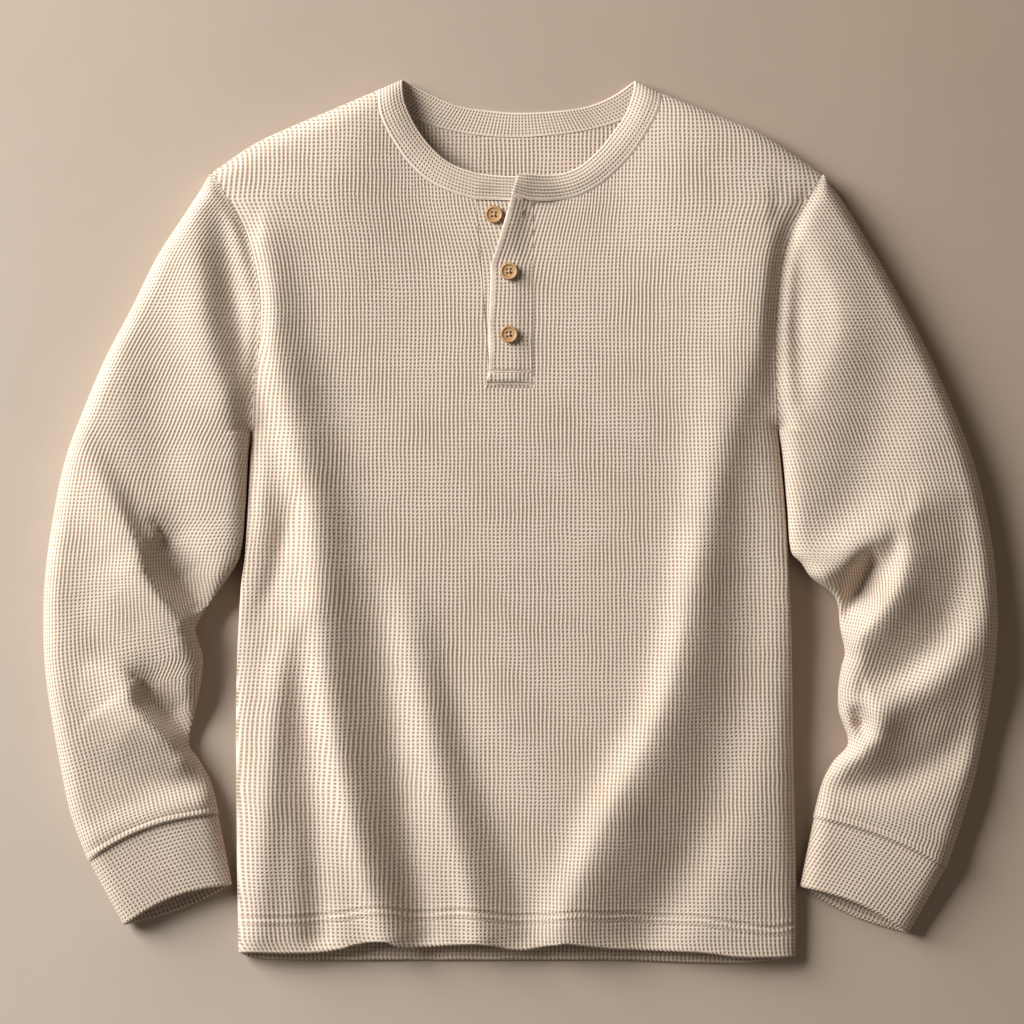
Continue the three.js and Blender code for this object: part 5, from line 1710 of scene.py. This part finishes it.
def button_place(number):
    """Where a button made round its own middle in millimetres comes to lie."""
    near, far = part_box(f"button_{number}")
    middle = (near + far) / 2
    tilt = Matrix.Rotation(-math.atan(NECK_SLOPE), 4, "X")
    spin = Matrix.Rotation(BUTTON_SPINS[number - 1], 4, "Z")
    return Matrix.Translation((middle.x, middle.y, near.z)) @ tilt @ spin @ Matrix.Scale(MM, 4)


def hole_angle(hole):
    """Direction of one of the four holes from a button's middle."""
    return math.pi / 4 + hole * math.pi / 2


def build_button_threads():
    """Crossed sewing thread between the holes of each button."""
    starts = []
    ends = []
    level = Vector((0, 0, BUTTON_PROFILE[-1][1] - THREAD_SUNK))
    for number in range(1, len(BUTTONS) + 1):
        place = button_place(number)
        for hole in (0, 1):
            angle = hole_angle(hole)
            across = Vector((math.cos(angle), math.sin(angle), 0)) * THREAD_REACH
            starts.append(np.array(place @ (level + across)) / MM - FRAME_SHIFT)
            ends.append(np.array(place @ (level - across)) / MM - FRAME_SHIFT)
    return make_stitches("button_threads", starts, ends, BUTTON_THREAD)


def ring_of_corners(made, middle, radius, z, sides):
    """A level ring of new corners."""
    x, y = middle
    angles = [2 * math.pi * n / sides for n in range(sides)]
    return [made.verts.new((x + radius * math.cos(a), y + radius * math.sin(a), z)) for a in angles]


def wall_between(made, lower, upper):
    """Faces between two rings of corners."""
    for a, b, c, d in zip(lower, lower[1:] + lower[:1], upper[1:] + upper[:1], upper):
        made.faces.new((a, b, c, d))


def build_button(number):
    """Turned button with a raised rim, a dished face and four drilled holes."""
    made = bmesh.new()
    from_middle = made.verts.layers.float.new("from_middle")
    rings = [ring_of_corners(made, (0, 0), radius, z, BUTTON_SIDES) for radius, z in BUTTON_PROFILE]
    for lower, upper in zip(rings, rings[1:]):
        wall_between(made, lower, upper)
    made.faces.new(rings[0])
    face_z = BUTTON_PROFILE[-1][1]
    floors = []
    edges = []
    for hole in range(HOLES):
        angle = hole_angle(hole)
        middle = (HOLE_RING * math.cos(angle), HOLE_RING * math.sin(angle))
        rim = ring_of_corners(made, middle, HOLE_RADIUS, face_z, HOLE_SIDES)
        floor = ring_of_corners(made, middle, HOLE_RADIUS, face_z - HOLE_DEPTH, HOLE_SIDES)
        edges += [made.edges.new(pair) for pair in zip(rim, rim[1:] + rim[:1])]
        wall_between(made, rim, floor)
        made.faces.new(floor)
        floors += floor
    face_rim = rings[-1]
    edges += [made.edges.get(pair) for pair in zip(face_rim, face_rim[1:] + face_rim[:1])]
    bmesh.ops.triangle_fill(made, use_beauty=True, edges=edges)
    bmesh.ops.recalc_face_normals(made, faces=made.faces)
    for corner in made.verts:
        corner[from_middle] = corner.co.xy.length / BUTTON_RADIUS
    # The floors of the holes take the darkest ring, painted shade down in the holes
    for corner in floors:
        corner[from_middle] = 1
    name = f"wood_button_{number}"
    mesh = bpy.data.meshes.new(name)
    made.to_mesh(mesh)
    made.free()
    mesh.transform(button_place(number))
    mesh.shade_smooth()
    mesh.set_sharp_from_angle(angle=math.radians(BUTTON_SHARP))
    return placed(name, mesh)


def settings_of(context):
    """The sizes and the colours that the user has set."""
    return context.scene.henley_sizes, context.scene.henley_colours


class HenleySizes(bpy.types.PropertyGroup):
    """Sizes of the cloth, the knit and the stitches"""

    wall: FloatProperty(
        name="Cloth", description="Thickness of the knit as it lies", default=0.002, unit="LENGTH"
    )
    hem_wall: FloatProperty(
        name="Hem", description="Thickness of the turned-up hem", default=0.003, unit="LENGTH"
    )
    band_wall: FloatProperty(
        name="Neckband", description="Thickness of the doubled neckband", default=0.0024, unit="LENGTH"
    )
    placket_wall: FloatProperty(
        name="Placket", description="Thickness of the placket's overlap", default=0.0013, unit="LENGTH"
    )
    rib: FloatProperty(
        name="Rib spacing", description="Distance between two ribs, in millimetres", default=3.24
    )
    course: FloatProperty(
        name="Course spacing", description="Distance between two rows of pits, in millimetres", default=3.1
    )
    knit_depth: FloatProperty(
        name="Knit depth", description="How deep the pits look", default=0.0006, unit="LENGTH"
    )
    stitch_length: FloatProperty(
        name="Stitch", description="Length of one machine stitch", default=0.0026, unit="LENGTH"
    )
    stitch_gap: FloatProperty(
        name="Stitch gap", description="Gap between two machine stitches", default=0.0007, unit="LENGTH"
    )
    thread: FloatProperty(
        name="Thread", description="Thickness of the sewing thread", default=0.0006, unit="LENGTH"
    )


class HenleyColours(bpy.types.PropertyGroup):
    """Colours of the yarn, the thread, the wood and the surface, with the painted shade of the knit's pits
    and the painted fall-off of light across the surface
    """

    knit_crest: FloatVectorProperty(
        name="Knit ribs",
        description="Oatmeal yarn on the ribs",
        default=(0.87, 0.71, 0.588),
        subtype="COLOR",
    )
    # Painted shade: the darker colour mixed in down in the pits, where shade falls
    knit_pit_shade: FloatVectorProperty(
        name="Knit pits",
        description="Oatmeal yarn down in the pits",
        default=(0.25, 0.165, 0.09),
        subtype="COLOR",
    )
    thread: FloatVectorProperty(
        name="Thread", description="Sewing thread", default=(0.76, 0.62, 0.49), subtype="COLOR"
    )
    wood_light: FloatVectorProperty(
        name="Light wood",
        description="Light grain of the buttons",
        default=(0.74, 0.45, 0.22),
        subtype="COLOR",
    )
    wood_dark: FloatVectorProperty(
        name="Dark wood",
        description="Dark grain of the buttons",
        default=(0.44, 0.22, 0.085),
        subtype="COLOR",
    )
    # Painted light: the lit end of the painted fall-off of light across the surface, at the lower left
    floor: FloatVectorProperty(
        name="Surface",
        description="Plain surface at the lower left",
        default=(0.60, 0.488, 0.392),
        subtype="COLOR",
    )
    # Painted shade: the shaded end of that fall-off, at the upper right
    floor_far_shade: FloatVectorProperty(
        name="Far surface",
        description="Plain surface at the upper right",
        default=(0.455, 0.332, 0.247),
        subtype="COLOR",
    )


# Strength of the bars between the pits, and how far in millimetres the ribs and rows wander
BODY_BARS = 0.66
BODY_WANDER = 2.8
BAND_BARS = 0.72
BAND_WANDER = 0.8
BAND_DEPTH_SHARE = 0.8


def shared_material(name, make, *settings):
    """A material by its name, which the first piece that wears it makes."""
    return bpy.data.materials.get(name) or make(*settings)


def body_knit(sizes, colours):
    """Knit of the body, sleeves, cuffs and placket."""
    name = "henley_waffle"
    spacing = sizes.rib, sizes.course, sizes.knit_depth
    return shared_material(name, knit_material, name, *spacing, colours, BODY_BARS, BODY_WANDER)


def band_knit(sizes, colours):
    """Finer knit of the neckband."""
    name = "henley_band"
    spacing = BAND_RIB, BAND_RIB, sizes.knit_depth * BAND_DEPTH_SHARE
    return shared_material(name, knit_material, name, *spacing, colours, BAND_BARS, BAND_WANDER)


def sewing_thread(colours):
    """Thread of all stitches."""
    return shared_material("henley_thread", thread_material, colours)


class HENLEY_OT_body(bpy.types.Operator):
    """Lays the front and the back panel, with the slit for the placket and the turned-up hem"""

    bl_idname = "henley.body"
    bl_label = "Body panels"

    def execute(self, context):
        sizes, colours = settings_of(context)
        knit = body_knit(sizes, colours)
        front = wear(build_front(sizes), knit, "front")
        back = wear(build_back(sizes), knit, "back")
        return {"FINISHED"}


class HENLEY_OT_sleeves(bpy.types.Operator):
    """Lays both sleeves with their folds, and the cuffs that follow their last rings"""

    bl_idname = "henley.sleeves"
    bl_label = "Sleeves and cuffs"

    def execute(self, context):
        sizes, colours = settings_of(context)
        knit = body_knit(sizes, colours)
        for side, hand in (("left", -1), ("right", 1)):
            arm, ring, normals, down = build_sleeve(side, hand, sizes)
            wear(arm, knit, f"sleeve_{side}")
            end = build_cuff(side, hand, sizes, ring, normals, down)
            wear(end, knit, f"cuff_{side}")
        return {"FINISHED"}


class HENLEY_OT_neckband(bpy.types.Operator):
    """Sets the neckband round the neckline, its right front end over its left one"""

    bl_idname = "henley.neckband"
    bl_label = "Neckband"

    def execute(self, context):
        sizes, colours = settings_of(context)
        band = wear(build_neckband(sizes), band_knit(sizes, colours), "neckband")
        return {"FINISHED"}


class HENLEY_OT_placket(bpy.types.Operator):
    """Sets the placket's underlap into the slit and lays its overlap above it"""

    bl_idname = "henley.placket"
    bl_label = "Placket"

    def execute(self, context):
        sizes, colours = settings_of(context)
        knit = body_knit(sizes, colours)
        under = wear(build_underlap(sizes), knit, "placket_under")
        over = wear(build_overlap(sizes), knit, "placket_over")
        return {"FINISHED"}


class HENLEY_OT_stitching(bpy.types.Operator):
    """Sews the hem, the placket and the empty buttonhole, and lays a thin piece of painted shade in its
    slit
    """

    bl_idname = "henley.stitching"
    bl_label = "Stitching"

    def execute(self, context):
        sizes, colours = settings_of(context)
        thread = sewing_thread(colours)
        wear(build_stitching(sizes), thread)
        wear(build_buttonhole(sizes), thread)
        # The buttonhole's slit is a thin piece that carries painted shade
        opening = shared_material("henley_opening_shade", opening_shade_material, colours)
        wear(build_slit_shade(sizes), opening)
        return {"FINISHED"}


class HENLEY_OT_buttons(bpy.types.Operator):
    """Turns the three wooden buttons"""

    bl_idname = "henley.buttons"
    bl_label = "Buttons"

    def execute(self, context):
        _, colours = settings_of(context)
        wood = shared_material("turned_wood", wood_material, colours)
        for number in range(1, len(BUTTONS) + 1):
            wear(build_button(number), wood, f"button_{number}")
        wear(build_button_threads(), sewing_thread(colours))
        return {"FINISHED"}


# The camera in metres: how high, over which point, and the width that it sees at the shirt's level
CAMERA_HEIGHT = 3.0
CAMERA_CENTRE = (-0.00683, 0.00742)
FRAME_WIDTH = 0.8192
FRAME_LEVEL = 0.015
SENSOR = 36.0
FLOOR_HALF = 6.0
# Square lights that face the middle of the shirt: name, place, size, power and colour
LIGHTS = [
    ("key", (-3.3, 1.9, 1.85), 2.6, 395, (0.95, 0.985, 1.0)),
    ("fill", (1.6, -0.6, 2.4), 2.4, 9, (1.0, 0.93, 0.85)),
]
ROOM_COLOUR = (1.0, 0.9, 0.79)
ROOM_LIGHT = 0.05


def add_area_light(name, place, size, power, colour):
    """Square light that faces the middle of the shirt."""
    data = bpy.data.lights.new(name, "AREA")
    data.shape = "SQUARE"
    data.size = size
    data.energy = power
    data.color = colour
    light = placed(name, data)
    light.location = place
    light.rotation_euler = (-Vector(place)).to_track_quat("-Z", "Y").to_euler()


class HENLEY_OT_stage(bpy.types.Operator):
    """Lays the plain surface and sets the lights and the camera straight above the shirt"""

    bl_idname = "henley.stage"
    bl_label = "Stage"

    def execute(self, context):
        _, colours = settings_of(context)
        scene = context.scene
        mesh = bpy.data.meshes.new("floor")
        corners = [(x * FLOOR_HALF, y * FLOOR_HALF, 0) for x, y in ((-1, -1), (1, -1), (1, 1), (-1, 1))]
        mesh.from_pydata(corners, [], [(0, 1, 2, 3)])
        floor = placed("floor", mesh)
        mesh.materials.append(floor_material(colours))
        for light in LIGHTS:
            add_area_light(*light)
        world = bpy.data.worlds.new("studio")
        world.use_nodes = True
        background = world.node_tree.nodes["Background"]
        background.inputs["Color"].default_value = (*ROOM_COLOUR, 1)
        background.inputs["Strength"].default_value = ROOM_LIGHT
        scene.world = world
        data = bpy.data.cameras.new("camera")
        data.sensor_width = SENSOR
        data.lens = SENSOR * (CAMERA_HEIGHT - FRAME_LEVEL) / FRAME_WIDTH
        camera = placed("camera", data)
        camera.location = (*CAMERA_CENTRE, CAMERA_HEIGHT)
        scene.camera = camera
        scene.view_settings.view_transform = "Standard"
        return {"FINISHED"}


OPERATORS = (
    HENLEY_OT_body,
    HENLEY_OT_sleeves,
    HENLEY_OT_neckband,
    HENLEY_OT_placket,
    HENLEY_OT_stitching,
    HENLEY_OT_buttons,
    HENLEY_OT_stage,
)


class HENLEY_PT_panel(bpy.types.Panel):
    """Sizes, colours and the pieces of the shirt in the order in which they are made"""

    bl_label = "Henley shirt"
    bl_idname = "HENLEY_PT_panel"
    bl_space_type = "VIEW_3D"
    bl_region_type = "UI"
    bl_category = "Henley"

    def draw(self, context):
        for group in settings_of(context):
            box = self.layout.box()
            for name in group.__annotations__:
                box.prop(group, name)
        for operator in OPERATORS:
            self.layout.operator(operator.bl_idname)


CLASSES = (HenleySizes, HenleyColours, *OPERATORS, HENLEY_PT_panel)


def register():
    """Makes the properties, the operators and the panel known to Blender."""
    for kind in CLASSES:
        bpy.utils.register_class(kind)
    bpy.types.Scene.henley_sizes = PointerProperty(type=HenleySizes)
    bpy.types.Scene.henley_colours = PointerProperty(type=HenleyColours)


def unregister():
    """Takes them out again."""
    del bpy.types.Scene.henley_colours
    del bpy.types.Scene.henley_sizes
    for kind in reversed(CLASSES):
        bpy.utils.unregister_class(kind)


def main():
    """Builds the shirt piece by piece and its stage."""
    register()
    bpy.ops.henley.body()
    bpy.ops.henley.sleeves()
    bpy.ops.henley.neckband()
    bpy.ops.henley.placket()
    bpy.ops.henley.stitching()
    bpy.ops.henley.buttons()
    bpy.ops.henley.stage()


if __name__ == "__main__":
    main()
